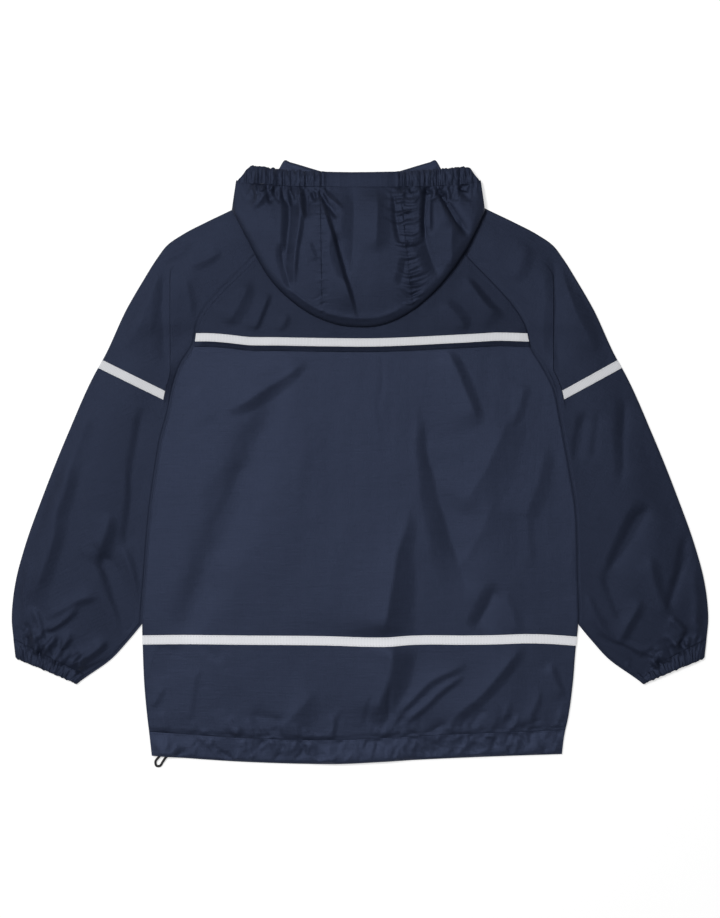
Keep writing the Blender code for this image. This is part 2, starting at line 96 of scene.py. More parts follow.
# Elastic hem cord: a thin black braided cord that runs in the hem casing and gathers it. A small loop of
# it hangs out below the left corner, and both its ends go back into the casing.
CORD = 2.5
CORD_COLOUR = (0.012, 0.012, 0.014, 1.0)
CORD_ROUTE = [
    # x, down, height of the centre line
    (-188.5, 589.6, 2.65),
    (-196.0, 593.0, 2.65),
    (-202.0, 598.0, 2.4),
    (-204.9, 602.5, 1.5),
    (-203.6, 606.4, 1.3),
    (-200.6, 606.4, 1.3),
    (-197.6, 602.4, 1.5),
    (-194.6, 598.0, 2.4),
    (-188.5, 594.0, 2.65),
]
CORD_POINTS = 60


def ease(share):
    share = np.clip(share, 0.0, 1.0)
    return share * share * (3 - 2 * share)


def mix(start, end, share):
    return start + (end - start) * share


def through(rows, place):
    """Smooth curve through a table's (place, value) rows."""
    places, values = np.array(rows, dtype=float).T
    slopes = np.gradient(values, places)
    place = np.clip(place, places[0], places[-1])
    left = np.clip(np.searchsorted(places, place) - 1, 0, len(places) - 2)
    span = places[left + 1] - places[left]
    share = (place - places[left]) / span
    leave = share * (1 - share) ** 2 * span * slopes[left]
    arrive = share ** 2 * (1 - share) * span * slopes[left + 1]
    return mix(values[left], values[left + 1], ease(share)) + leave - arrive


def along(points):
    """Distance of each point from the first, along the line through them."""
    return np.concatenate([[0.0], np.cumsum(np.linalg.norm(np.diff(points, axis=0), axis=1))])


def metres(x, down, height):
    """Points in metres from millimetres across, down and up."""
    return np.column_stack([x, TOP_Y - down, height]) * MM


route = np.array(CORD_ROUTE)
run = along(route)
steps = np.linspace(0, run[-1], CORD_POINTS)
cord_line = metres(*[through(list(zip(run, column)), steps) for column in route.T])
cord_curve = bpy.data.curves.new("hem_cord_loop", "CURVE")
cord_curve.dimensions = "3D"
cord_curve.bevel_depth = CORD / 2 * MM
cord_curve.bevel_resolution = 4
cord_curve.use_fill_caps = True
cord_spline = cord_curve.splines.new("POLY")
cord_spline.points.add(CORD_POINTS - 1)
for point, place in zip(cord_spline.points, cord_line):
    point.co = (*place, 1.0)
hem_cord = bpy.data.objects.new("hem_cord_loop", cord_curve)
bpy.context.scene.collection.objects.link(hem_cord)


class Wire:
    """A shader socket that takes part in Python sums."""

    def __init__(self, nodes, socket):
        self.nodes = nodes
        self.socket = socket

    def maths(self, operation, other, swap=False):
        first, second = (other, self) if swap else (self, other)
        return self.nodes.add("ShaderNodeMath", {"operation": operation}, [first, second])

    def __add__(self, other):
        return self.maths("ADD", other)

    def __radd__(self, other):
        return self.maths("ADD", other, True)

    def __sub__(self, other):
        return self.maths("SUBTRACT", other)

    def __rsub__(self, other):
        return self.maths("SUBTRACT", other, True)

    def __mul__(self, other):
        return self.maths("MULTIPLY", other)

    def __rmul__(self, other):
        return self.maths("MULTIPLY", other, True)


class Finish:
    """A material under way; add() makes any node and returns its first output, or the one asked for."""

    def __init__(self, name):
        self.material = bpy.data.materials.new(name)
        self.material.use_nodes = True
        self.tree = self.material.node_tree
        self.shader = self.tree.nodes["Principled BSDF"]
        self.place = self.add("ShaderNodeTexCoord", {}, {}, 3)

    def put(self, socket, value):
        if isinstance(value, Wire):
            self.tree.links.new(value.socket, socket)
        else:
            socket.default_value = value

    def add(self, kind, settings, inputs, output=0):
        node = self.tree.nodes.new(kind)
        for key, value in settings.items():
            setattr(node, key, value)
        pairs = inputs.items() if isinstance(inputs, dict) else enumerate(inputs)
        for key, value in pairs:
            self.put(node.inputs[key], value)
        return Wire(self, node.outputs[output])

    def blend(self, share, start, end):
        """Colour between two colours."""
        node = self.tree.nodes.new("ShaderNodeMix")
        node.data_type = "RGBA"
        for socket, value in zip((node.inputs[0], node.inputs[6], node.inputs[7]), (share, start, end)):
            self.put(socket, value)
        return Wire(self, node.outputs[2])

    def clouds(self, place, scale, detail):
        """Soft uneven noise from 0 to 1."""
        return self.add("ShaderNodeTexNoise", {}, {"Vector": place, "Scale": scale, "Detail": detail})

    def relief(self, height, strength, distance, **below):
        """Bump of a height, over another one where Normal is given."""
        return self.add("ShaderNodeBump", {}, {
            "Height": height, "Strength": strength, "Distance": distance, **below})

    def turned(self, degrees):
        """Place turned to the run of a grain."""
        return self.add("ShaderNodeMapping", {}, {
            "Vector": self.place, "Rotation": (0.0, 0.0, math.radians(degrees))})

    def surface(self, **values):
        for name, value in values.items():
            label = name.replace("_", " ").title().replace("Ior", "IOR")
            self.put(self.shader.inputs[label], value)


def braid_finish():
    made = Finish("braided_elastic")
    strands = made.add("ShaderNodeTexWave", {"wave_type": "BANDS", "bands_direction": "DIAGONAL"},
                       {"Vector": made.place, "Scale": 420.0, "Distortion": 1.5}, 1)
    made.surface(base_color=CORD_COLOUR, roughness=0.62 + 0.12 * strands,
                 normal=made.relief(strands, 0.6, 0.0003))
    return made.material


hem_cord.data.materials.append(braid_finish())
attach(hem_cord, "root")
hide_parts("hem_cord")


# Fronts: the layer on the table. Two front panels of navy coated nylon lap at the centre, the left one
# over the right one, and a hook-and-loop strip joins them. A narrow casing is sewn along their hem.
CLOTH = 0.7                 # cloth wall
FRONT_FACE = 0.95           # upper face of a front; its stitches reach down to the table
WALL = 1.0
GAP = 0.3
LIFT = 1.5                  # room of one more layer of cloth
REST = 2.3                  # outer face of a back piece lying on its front piece
FRONT_LAP = 20.0
LAP_RAMP = (-46.0, -22.0)   # x over which the left front climbs onto the right one
UNDERARM = 464.0            # down at which the sleeve leaves the body
HEM_CASING = 24.0
NAVY = (0.0050, 0.0070, 0.0150)
NAVY_WORN = (0.0125, 0.0162, 0.0310)
SATIN = (0.46, 0.58, 1.0, 1.0)    # tint of the cloth's own gloss
CLOTH_GLOSS = 0.66
WEAVE = 0.9                 # thread pitch that the coating lets through
THREAD_COLOUR = (0.012, 0.016, 0.034)
LOOPS = (0.006, 0.008, 0.018)

BODY_SIDES = [
    # down, left half width, right half width of the raglan seam and side seam
    (56.0, 68.0, 68.0),
    (98.0, 104.2, 109.0),
    (163.7, 161.6, 164.4),
    (189.0, 167.4, 171.5),
    (206.0, 178.0, 182.0),
    (230.0, 186.3, 193.9),
    (254.0, 191.2, 199.0),
    (283.5, 199.0, 204.5),
    (314.0, 204.0, 210.0),
    (342.0, 208.0, 214.5),
    (415.0, 214.5, 217.5),
    (470.0, 218.0, 218.0),
    (488.0, 217.5, 216.0),
    (524.0, 216.0, 213.0),
    (557.0, 213.0, 208.5),
    (577.0, 210.6, 204.3),
    (596.0, 208.4, 202.0),
]
# x and down of the hem's edge
HEM = [(-209.0, 596.0), (-106.0, 602.6), (-16.0, 604.0), (20.0, 602.2), (60.0, 600.0), (149.0, 596.2),
       (203.0, 594.4)]
HEM_CORNER = 205.0          # half width at which the side seam meets the casing
# down and half width of the front neckline, from the raglan seam to the centre
FRONT_NECK = [(56.0, 62.0), (66.0, 50.0), (78.0, 30.0), (88.0, -FRONT_LAP)]
FRONT_TOP = 57.0
FRONT_CELLS = (84, 150)
FRONT_HEM_CELLS = (110, 8)
FASTENING = 18.0
FASTENING_RUN = (560.0, 100.0)
FASTENING_CELLS = (8, 90)
FASTENING_WALL = 0.9
CRISP_ANGLE = 60.0          # degrees from which an edge of the cloth stays sharp
STITCH_PITCH = 2.9
STITCH_LENGTH = 2.3
STITCH_WIDTH = 0.42
SIDES = ((-1, "left"), (1, "right"))
FRONT_CREASES = [
    # x, down, x, down, bow, width, rise, lean
    (-178, 220, -120, 300, 6, 9, 0.7, 0.3),
    (-90, 330, -150, 470, -8, 12, 0.8, -0.3),
    (-190, 380, -170, 500, 3, 8, 0.6, 0.2),
    (170, 230, 110, 310, -6, 10, 0.8, 0.3),
    (70, 300, 120, 430, 7, 12, 0.8, -0.3),
    (190, 400, 150, 520, 5, 9, 0.7, 0.4),
    (-60, 120, -110, 190, 4, 9, 0.6, 0.2),
    (60, 120, 120, 180, -4, 9, 0.6, 0.2),
]


def swell(share):
    """Quarter-round rise from 0 to 1."""
    share = np.clip(share, 0.0, 1.0)
    return np.sqrt(1 - (1 - share) ** 2)


def fine_ends(share, length, cells, margin, fine):
    """Share along a length whose cells are of the fine size within a margin of both ends."""
    near = margin / fine / cells
    edge = margin / length
    middle = edge + (share - near) / (1 - 2 * near) * (1 - 2 * edge)
    return np.where(share < near, share / near * edge,
                    np.where(share > 1 - near, 1 - (1 - share) / near * edge, middle))


def ripple(x, down, size, seed):
    """Smooth uneven field around 0 whose swells are about as wide as the given size."""
    draw = np.random.default_rng(seed)
    total = np.zeros(np.broadcast(x, down).shape)
    waves = 14
    for _ in range(waves):
        turn, phase = draw.uniform(0, 2 * np.pi, 2)
        pitch = 2 * np.pi / size / draw.uniform(1.5, 3.4)
        total += np.cos(pitch * (x * np.cos(turn) + down * np.sin(turn)) + phase)
    return total / np.sqrt(waves * 1.6)


def beside(run, x, down):
    """Share along a fold's bowed run, and the distance to the right of it."""
    x0, down0, x1, down1, bow = run
    run_x = x1 - x0
    run_down = down1 - down0
    length = np.hypot(run_x, run_down)
    place = ((x - x0) * run_x + (down - down0) * run_down) / length ** 2
    across = ((x - x0) * run_down - (down - down0) * run_x) / length - 4 * bow * place * (1 - place)
    return place, across


def creases(rows, x, down, seed):
    """Sum of the creases at each point: a ridge, or a trough where the rise is below 0, along a bowed run.

    With a lean above 0 the side to the right of a downward run is steep and has a trough beside it."""
    wander = 2.2
    x = x + wander * ripple(x, down, 22.0, seed)
    down = down + wander * ripple(x, down, 22.0, seed + 1)
    uneven = 1 + 0.12 * ripple(x, down, 45.0, seed + 2)
    total = np.zeros(x.shape)
    for *run, width, rise, lean in rows:
        place, across = beside(run, x, down)
        inside = np.clip(place, 0, 1)
        body = np.sin(np.pi * inside)
        spread = width * (0.45 + 0.55 * body) * (1 - lean * np.sign(across))
        trough = 0.5 * abs(lean) * np.exp(-((across * np.sign(lean) / width - 1.25) / 0.55) ** 2)
        total += rise * body ** 0.7 * (np.exp(-(across / spread) ** 2) - trough)
    return total * uneven


def facets(rows, x, down, seed):
    """Sum of the flat-sided folds at each point.

    Each has a crisp line, a plane that slopes beside it and a soft back. The plane lies right of a
    downward run where its width is above 0. It falls to the right, or with a slope below 0 to the left."""
    x = x + 1.3 * ripple(x, down, 26.0, seed)
    down = down + 1.3 * ripple(x, down, 26.0, seed + 1)
    total = np.zeros(x.shape)
    for *run, wide0, wide1, slope, back in rows:
        place, across = beside(run, x, down)
        inside = np.clip(place, 0, 1)
        side = np.sign(wide0 + wide1)
        wide = abs(mix(wide0, wide1, inside)) * (0.5 + 0.5 * np.sin(np.pi * inside) ** 0.5) + 0.5
        out = across * side
        bend = np.minimum(0.8, 0.25 * wide)
        out = np.sign(out) * (np.hypot(out, bend) - bend)
        crest = slope * wide * ease(place / 0.25) * ease((1 - place) / 0.25)
        plane = np.clip(1 - out / wide, 0.0, 1.0) ** 1.3
        total += side * crest * np.where(out > 0, plane, np.exp(np.minimum(out, 0.0) / back))
    return total


def side_of(x):
    return np.where(x < 0, -1, 1)


def body_half(side, down):
    left = through([(row[0], row[1]) for row in BODY_SIDES], down)
    right = through([(row[0], row[2]) for row in BODY_SIDES], down)
    return np.where(np.asarray(side) < 0, left, right)


def hem_edge(x):
    return through(HEM, x)


def lap_rise(side, x):
    return np.interp(x, LAP_RAMP, [0.0, 2 * LIFT]) if side < 0 else 0.0 * x


# Colour with alpha, scaled by a light factor that paints light or shade on a copy of a finish.
def lit(colour, light=1.0):
    return (*(light * part for part in colour), 1.0)


def cloth_finish(name, turn=0.0, light=1.0):
    """Navy coated nylon: a fine plain weave under a soft coating, with faint crumples and worn tones.

    turn is the angle of its grain. light scales its colour and gloss, so that a copy below 1 has painted
    shade and one above 1 painted light."""
    made = Finish(name)
    grain = made.turned(turn)
    threads = {"Vector": grain, "Scale": 2 * math.pi / 20 / (WEAVE * MM), "Distortion": 0.0}
    warp = made.add("ShaderNodeTexWave", {"bands_direction": "X"}, threads, 1)
    weft = made.add("ShaderNodeTexWave", {"bands_direction": "Y"}, threads, 1)
    tone = made.clouds(made.place, 11.0, 3.0)
    speckle = made.clouds(grain, 420.0, 2.0)
    level_slubs = made.add("ShaderNodeMapping", {}, {"Vector": grain, "Scale": (60.0, 520.0, 60.0)})
    upright_slubs = made.add("ShaderNodeMapping", {}, {"Vector": grain, "Scale": (620.0, 70.0, 70.0)})
    slub = 0.6 * made.clouds(level_slubs, 1.0, 2.0) + 0.4 * made.clouds(upright_slubs, 1.0, 2.0)
    share = 0.6 * tone + 0.4 * speckle + 1.5 * slub - 0.75 + 0.10 * warp * weft
    weave = made.relief(0.3 * (warp + weft) + 1.3 * slub, 0.8, 0.00026)
    crumple = made.relief(made.clouds(made.place, 70.0, 4.0), 0.45, 0.0006, Normal=weave)
    made.surface(base_color=made.blend(share, lit(NAVY, light), lit(NAVY_WORN, light)),
                 roughness=0.46 + 0.08 * tone + 0.12 * slub, normal=crumple, specular_tint=SATIN,
                 specular_ior_level=CLOTH_GLOSS * light)
    return made.material


def thread_finish(name, colour, shade):
    made = Finish(name)
    twist = made.clouds(made.place, 900.0, 1.0)
    made.surface(base_color=made.blend(twist, lit(colour), lit(shade)), roughness=0.5 + 0.1 * twist,
                 specular_tint=SATIN, specular_ior_level=0.5)
    return made.material


def strip_finish():
    """Hook-and-loop strip: matt loops that stand up a little."""
    made = Finish("loop_strip")
    loops = made.add("ShaderNodeTexVoronoi", {}, {"Vector": made.place, "Scale": 900.0})
    made.surface(base_color=made.blend(loops, lit(NAVY), lit(LOOPS)), roughness=0.85 + 0.1 * loops,
                 normal=made.relief(loops, 0.8, 0.0004))
    return made.material


BODY_CLOTH = cloth_finish("navy_nylon")
# The yoke's copy of the cloth is darker all over: painted shade.
YOKE_CLOTH_PAINTED_SHADE = cloth_finish("navy_nylon_yoke_painted_shade", light=0.68)
THREAD = thread_finish("sewing_thread", THREAD_COLOUR, NAVY_WORN)


def place_piece(piece, finish, nodes):
    """Gives a piece its finish and its body, and hides the solids it stands for."""
    piece.data.materials.append(finish)
    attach(piece, "root")
    if nodes:
        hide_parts(*nodes)


def panel(name, columns, rows, surface, node, finish=None, slot="cloth", wall=CLOTH):
    """Thin shell under a surface; its grid runs left to right and from the hem to the neck."""
    bpy.ops.object.select_all(action="DESELECT")
    bpy.ops.mesh.primitive_grid_add(x_subdivisions=columns, y_subdivisions=rows, size=1.0)
    piece = bpy.context.object
    piece.name = piece.data.name = name
    places = np.empty(len(piece.data.vertices) * 3)
    piece.data.vertices.foreach_get("co", places)
    across, share = places.reshape(-1, 3)[:, :2].T + 0.5
    piece.data.vertices.foreach_set("co", metres(*surface(across, share)).ravel())
    shell = piece.modifiers.new("wall", "SOLIDIFY")
    shell.thickness = wall * MM
    shell.offset = -1.0
    bpy.ops.object.modifier_apply(modifier="wall")
    bpy.ops.object.shade_smooth_by_angle(angle=math.radians(CRISP_ANGLE))
    place_piece(piece, finish or BODY_CLOTH, [node])
    return piece


def spaced(line, pitch):
    """Points along a line at an even pitch, and the line's direction at each."""
    line = np.asarray(line, dtype=float)
    run = along(line)
    steps = np.arange(pitch / 2, run[-1], pitch)
    points = np.column_stack([np.interp(steps, run, column) for column in line.T])
    ahead = np.column_stack([np.interp(steps + 0.5, run, column) for column in line.T])
    behind = np.column_stack([np.interp(steps - 0.5, run, column) for column in line.T])
    return points, (ahead - behind) / np.linalg.norm(ahead - behind, axis=1)[:, None]


def stitching(name, lines, width=STITCH_WIDTH, finish=None):
    """Rows of lockstitches: one thread arch, copied along every line of points across, down and up."""
    bpy.ops.object.select_all(action="DESELECT")
    bpy.ops.mesh.primitive_uv_sphere_add(segments=6, ring_count=4, radius=0.5)
    piece = bpy.context.object
    piece.name = piece.data.name = name
    arch = np.array([vertex.co for vertex in piece.data.vertices]) * (width, width * 0.8, STITCH_LENGTH)
    faces = sorted(list(face.vertices) for face in piece.data.polygons)
    corners, all_faces = [], []
    for line in lines:
        points, ways = spaced(line, STITCH_PITCH)
        sides = np.cross(ways, [0.0, 0.0, 1.0])
        sides /= np.linalg.norm(sides, axis=1)[:, None]
        ups = np.cross(sides, ways)
        for point, way, side, up in zip(points, ways, sides, ups):
            first = len(corners) * len(arch)
            corners.append(point + np.outer(arch[:, 0], side) + np.outer(arch[:, 1], up)
                           + np.outer(arch[:, 2], way))
            all_faces += [[first + corner for corner in face] for face in faces]
    x, down, height = np.concatenate(corners).T
    piece.data.clear_geometry()
    piece.data.from_pydata(metres(x, down, height), [], all_faces)
    bpy.ops.object.mode_set(mode="EDIT")
    bpy.ops.mesh.select_all(action="SELECT")
    bpy.ops.mesh.normals_make_consistent(inside=False)
    bpy.ops.object.mode_set(mode="OBJECT")
    bpy.ops.object.shade_smooth()
    place_piece(piece, finish or THREAD, [])
    return piece


def on(surface_height, x, down, above=0.05):
    """Line of points that lies on a surface given by its height."""
    x, down = np.broadcast_arrays(np.asarray(x, dtype=float), np.asarray(down, dtype=float))
    return np.column_stack([x, down, surface_height(x, down) + above])


def front_height(side, x, down):
    """Upper face of a front: it lies on the table, lifted a little along shallow creases."""
    edge = np.minimum(body_half(side_of(x), np.minimum(down, 590.0)) - abs(x), 40.0)
    lifted = np.maximum(creases(FRONT_CREASES, x, down, 40), 0.0) * ease(edge / 30) * ease((abs(x) - 30) / 25)
    return FRONT_FACE + lap_rise(side, x) + lifted


def sided(side, surface):
    """Left or right piece of a pair, whose surface is given by the share from its outer edge inwards."""
    return lambda across, share: surface(side, across if side < 0 else 1 - across, share)


def front(side, from_outer, share):
    outer_foot = hem_edge(side * HEM_CORNER) - HEM_CASING - GAP
    down = mix(outer_foot, FRONT_TOP, share)
    x = side * mix(body_half(side, down), through(FRONT_NECK, down), from_outer)
    down = down + (hem_edge(x) - HEM_CASING - GAP - outer_foot) * ease((down - 470.0) / 100.0)
    return x, down, front_height(side, x, down)


def front_hem(side, from_outer, share):
    outer = body_half(side, hem_edge(side * HEM_CORNER) - HEM_CASING * share)
    x = side * mix(outer, -FRONT_LAP, from_outer)
    down = hem_edge(x) - HEM_CASING * share
    gathers = 0.35 * np.maximum(1 + ripple(x, 0.15 * down, 2.4, 7), 0.0) * np.sin(np.pi * share)
    return x, down, FRONT_FACE + lap_rise(side, x) + gathers * ease((abs(x) - 24) / 20)


def front_fastening(across, share):
    x = mix(-FASTENING / 2, FASTENING / 2, across)
    return x, mix(*FASTENING_RUN, share), WALL + LIFT + 0.0 * x


def front_lines(side):
    """Rows of stitches on the face that lies on the table: along the side, above the hem, along the lap."""
    beside_seam = np.linspace(70, 560, 240)
    lap = -side * (FRONT_LAP - 3.0)
    rows = [(side * (body_half(side, beside_seam) - 4.0), beside_seam),
            (np.linspace(side * HEM_CORNER, lap, 200), 572.0),
            (np.full(200, lap), np.linspace(96, 566, 200))]
    return [on(lambda x, down: front_height(side, x, down) - CLOTH, *row, -0.03) for row in rows]


for side, word in SIDES:
    sewing = stitching(f"{word}_front_stitches", front_lines(side))
    cloth = panel(f"{word}_front_cloth", *FRONT_CELLS, sided(side, front), f"{word}_front")
    casing = panel(f"{word}_front_hem_cloth", *FRONT_HEM_CELLS, sided(side, front_hem),
                   f"{word}_front_hem")
panel("front_fastening_strip", *FASTENING_CELLS, front_fastening, "front_fastening", strip_finish(),
      "fastening", FASTENING_WALL)


# Back body: one panel of the same nylon from under the yoke flap to the hem casing. Its raglan and side
# edges roll over the sleeves and are topstitched twice, and the cloth lies in long soft creases.
BODY_LOFT = 3.6
EDGE_ROLL = 14.0
VENT_TOP = 178.0            # hidden upper edge under the flap
BODY_LENGTH = 400.0
BODY_CELLS = (214, 224)
TAPE_HOLD = 0.7             # share of the folds that the stiffer tape across the back flattens
TAPE_MIDDLE = 480.0
TOPSTITCH = (1.3, 4.6)      # distance of the two rows of stitches from the edge
HEM_FOLD_SPAN = (-204.0, 200.0)
BODY_FACETS = [
    # x, down, x, down, bow, width at both ends, slope, soft back
    (-50, 194, -140, 252, 6, 9, 12, 0.28, 16),
    (-164, 224, -142, 262, -2, 6, 7, 0.121, 14),
    (-112, 292, -152, 378, 2, -8, -8, 0.06, 30),
    (58, 232, 112, 440, -6, -4, -32, 0.257, 40),
    (53, 334, 18, 502, -3, 4, 42, 0.243, 34),
    (36, 470, 12, 566, 3, 32, 12, 0.27, 18),
    (83, 184, 119, 270, 2, 8, 10, 0.324, 16),
    (168, 222, 150, 268, 1, 5, 6, 0.189, 14),
    (154, 246, 98, 356, 3, 24, 34, 0.108, 30),
    (188, 280, 160, 372, 2, 12, 14, 0.121, 24),
    (166, 356, 171, 410, 0, 7, 7, 0.1, 14),
    (140, 330, 92, 420, 2, 40, 50, 0.074, 36),
    (139, 422, 110, 474, 2, -12, -14, 0.23, 16),
    (146, 428, 158, 476, 0, 6, 8, 0.15, 12),
    (110, 503, 34, 562, -9, 6, 5, 0.42, 9),
    (106, 513, 42, 570, -4, 5, 4, 0.48, 6),
    (166, 482, 82, 570, 3, 12, 6, 0.32, 14),
    (180, 526, 163, 574, 2, 4, 4, 0.26, 6),
    (150, 540, 137, 572, 1, 5, 4, 0.22, 8),
    (189, 502, 206, 540, -2, 6, 5, 0.3, 8),
    (-160, 504, -171, 570, -3, 5, 6, 0.18, 12),
    (-188, 478, -209, 520, 0, -9, -6, 0.2, 10),
    (-197, 524, -209, 550, 0, 4, 4, 0.22, 7),
    (-166, 480, -138, 504, 1, -8, -6, 0.14, 9),
    (-44, 526, -86, 574, 3, 18, 26, 0.11, 24),
    (-112, 556, -66, 566, 2, -8, -10, 0.14, 10),
]
BODY_CREASES = [
    # x, down, x, down, bow, width, rise, lean
    (23, 192, 22, 270, 0, 3.5, -0.35, 0.2),
    (-76, 208, -186, 498, 2, 20, -4.4, 0),
    (-60, 250, -92, 420, 8, 30, 1.2, 0.2),
    (10, 534, 5, 574, 0, 2.6, -1, 0.1),
    (30, 526, 21, 576, 3, 2.6, -1.2, 0.1),
    (27, 548, 26, 576, 0, 2.6, 0.8, 0.1),
    (37, 552, 36, 576, 0, 3, 0.7, 0.1),
    (-20, 548, -30, 576, 0, 3, 0.6, 0.1),
]


def side_run(side, down):
    """Length of the raglan seam or side seam for each millimetre down."""
    slope = (body_half(side, down + 1) - body_half(side, down - 1)) / 2
    return np.sqrt(1 + slope ** 2)


def side_inward(x, down):
    """Distance in from the raglan seam or side seam."""
    side = side_of(x)
    return (body_half(side, down) - abs(x)) / side_run(side, down)


def front_rise(x):
    """Room that the lapped fronts and their fastening take at the centre."""
    foot, top = LAP_RAMP
    return 2 * LIFT * np.clip((abs(x) + foot - 6) / (foot - top - 2), 0.0, 1.0)


def edge_roll(inward, far=85.0):
    """Rise of a panel from its edge: a small rounded lip, then a slow swell."""
    return 0.14 * swell(inward / 1.6) + 0.86 * ease(inward / far)


def crumples(x, down, seed):
    """Faint uneven crumpling of the coated cloth."""
    broad = 0.22 * ripple(x, down, 38.0, seed + 5)
    small = 0.09 * ripple(x, 0.6 * down, 11.0, seed + 6)
    return broad + small + 0.05 * abs(ripple(x, 0.8 * down, 7.0, seed))


def seam_pucker(run, distance, reach, seed, pitch):
    """Small pleats square to a seam, which die out within the reach."""
    return ripple(run, 0.0 * run + seed, pitch, seed) * np.exp(-(distance / reach) ** 2)


def scattered(seed, count, start, length, width, slope, spread, before=0.0):
    """Rows for facets(): crisp folds at drawn places, lengths, widths and slopes.

    start turns a share along the seam into a place and a heading in degrees right of straight up. spread is
    how far headings stray, and before is the share of each fold that lies behind its place."""
    draw = np.random.default_rng(seed)
    rows = []
    for number in range(count):
        x, down, heading = start((number + draw.uniform()) / count, draw)
        run = draw.uniform(*length)
        turn = math.radians(heading + draw.normal(0.0, spread))
        step_x, step_down = run * math.sin(turn), -run * math.cos(turn)
        wide = draw.uniform(*width) * draw.choice((-1, 1))
        rows.append((x + (1 - before) * step_x, down + (1 - before) * step_down, x - before * step_x,
                     down - before * step_down, 0.08 * draw.normal() * run, wide, 0.8 * wide,
                     draw.uniform(*slope) * draw.choice((-1, 1)), 0.9 * abs(wide)))
    return rows


def hem_start(share, draw):
    """Place on the casing's seam, more often to the right, and a heading that leans to the right there."""
    x = mix(*HEM_FOLD_SPAN, share ** 0.72)
    heading = mix(-4.0, 40.0, float(ease((x + 40) / 90)))
    return x, hem_edge(x) - HEM_CASING + draw.uniform(-2.0, 5.0), heading


def casing_start(share, draw):
    x = mix(*HEM_FOLD_SPAN, share ** 0.85)
    return x, hem_edge(x) - draw.uniform(2.0, HEM_CASING - 2.0), 26.0 * draw.choice((-1, 1))


HEM_FOLDS = scattered(24, 62, hem_start, length=(10.0, 36.0), width=(3.0, 6.5), slope=(0.08, 0.26),
                      spread=20.0)
HEM_FOLDS += scattered(25, 110, casing_start, length=(10.0, 26.0), width=(2.0, 3.8), slope=(0.14, 0.32),
                       spread=22.0, before=0.5)


def hem_gathers(x, down):
    """Pleats that the hem's elastic draws above its casing and across it."""
    return facets(HEM_FOLDS, x, down, 27) + 0.20 * ripple(x, 0.25 * down, 4.0, 26) * np.exp(
        -((hem_edge(x) - HEM_CASING - down) / 7.0) ** 2)


def body_cloth(x, down):
    """Height of the outer face of the back body."""
    inward = side_inward(x, down)
    fall = mix((down - 455) / 35, (down - 390) / 150, ease(inward / 40))
    edge = REST + 0.85 * LIFT * (1 - ease(fall))
    held = 1 - TAPE_HOLD * np.exp(-((down - TAPE_MIDDLE) / 10.0) ** 2)
    folds = creases(BODY_CREASES, x, down, 11) + facets(BODY_FACETS, x, down, 14)
    folds = folds * ease(inward / EDGE_ROLL) * held
    rolled = BODY_LOFT * edge_roll(inward)
    to_hem = hem_edge(x) - HEM_CASING - down
    hem_dip = 0.7 * (1 - ease(to_hem / 6))
    pucker = 0.10 * seam_pucker(down, inward, 7.0, 21, 6.0) + hem_gathers(x, down) * ease(to_hem / 3)
    height = edge + rolled + folds + (crumples(x, down, 31) + pucker) * ease(inward / 6)
    height = np.maximum(height, REST + 0.3 + front_rise(x) * ease(inward / 4)) - hem_dip
    return np.maximum(height, REST + 0.75 * front_rise(x))


def body_point(across, top_line, foot_line, share):
    """Point of a body panel between two lines, its ends on the body's sides."""
    x = 0.0 * across
    for _ in range(3):
        down = mix(foot_line(x), top_line(x), share)
        left, right = body_half(-1, down), body_half(1, down)
        x = mix(-left, right, fine_ends(across, left + right, BODY_CELLS[0], margin=13.0, fine=1.0))
    return x, down


def back_body(across, share):
    share = fine_ends(share, BODY_LENGTH, BODY_CELLS[1], margin=12.0, fine=1.0)
    x, down = body_point(across, lambda x: VENT_TOP + 0.0 * x, lambda x: hem_edge(x) - HEM_CASING + 1.0,
                         share)
    return x, down, body_cloth(x, down) - 0.7 * ease((down - hem_edge(x) + HEM_CASING + 0.3) / 1.0)


def raglan_lines(surface_height, insets, first, last, steps):
    """The topstitched rows inside the body's edge on both sides."""
    down = np.linspace(first, last, steps)
    return [on(surface_height, side * (body_half(side, down) - inset * side_run(side, down)), down)
            for side, _ in SIDES for inset in insets]


below_arm = np.linspace(458, 570, 90)
body_sewing = stitching("back_body_stitches", raglan_lines(body_cloth, TOPSTITCH[:1], 192, 455, 300) + [
    on(body_cloth, side * (body_half(side, below_arm) - 1.4), below_arm) for side, _ in SIDES])
body_panel = panel("back_body_cloth", *BODY_CELLS, back_body, "back_body")


# Reflective tapes of the body: silver ribbed tape, sewn flat along both edges across the lower back and
# along the foot of the yoke.
TAPE = 9.2
YOKE_TAPE_WIDTH = 8.2
TAPE_LIFT = 0.65
TAPE_WALL = 0.45
SILVER = (0.60, 0.61, 0.64)
SILVER_RIB = (0.74, 0.75, 0.78)
RIB = 1.5
TAPE_THREAD = (0.46, 0.47, 0.49)
TAPE_ROWS = 8
TAPE_EDGES = (0.12, 0.88)   # shares across a tape at which it is sewn down
TAPE_STITCH = 0.34
# x and down of the tapes' upper edges
LOW_TAPE = [(-218.0, 475.5), (-175.0, 475.0), (-115.0, 475.4), (-35.0, 476.1), (12.0, 477.3),
            (27.0, 477.2), (48.0, 475.7), (65.0, 475.2), (105.0, 475.4), (140.0, 474.9), (165.0, 474.1),
            (185.0, 474.5), (218.0, 476.8)]
YOKE_TAPE = [(-168.0, 173.2), (-147.0, 173.5), (-130.0, 175.0), (-113.0, 177.0), (-85.0, 177.5),
             (-30.0, 178.4), (20.0, 178.5), (50.0, 177.4), (80.0, 175.9), (110.0, 174.3), (140.0, 172.7),
             (157.0, 173.1), (172.0, 173.4)]


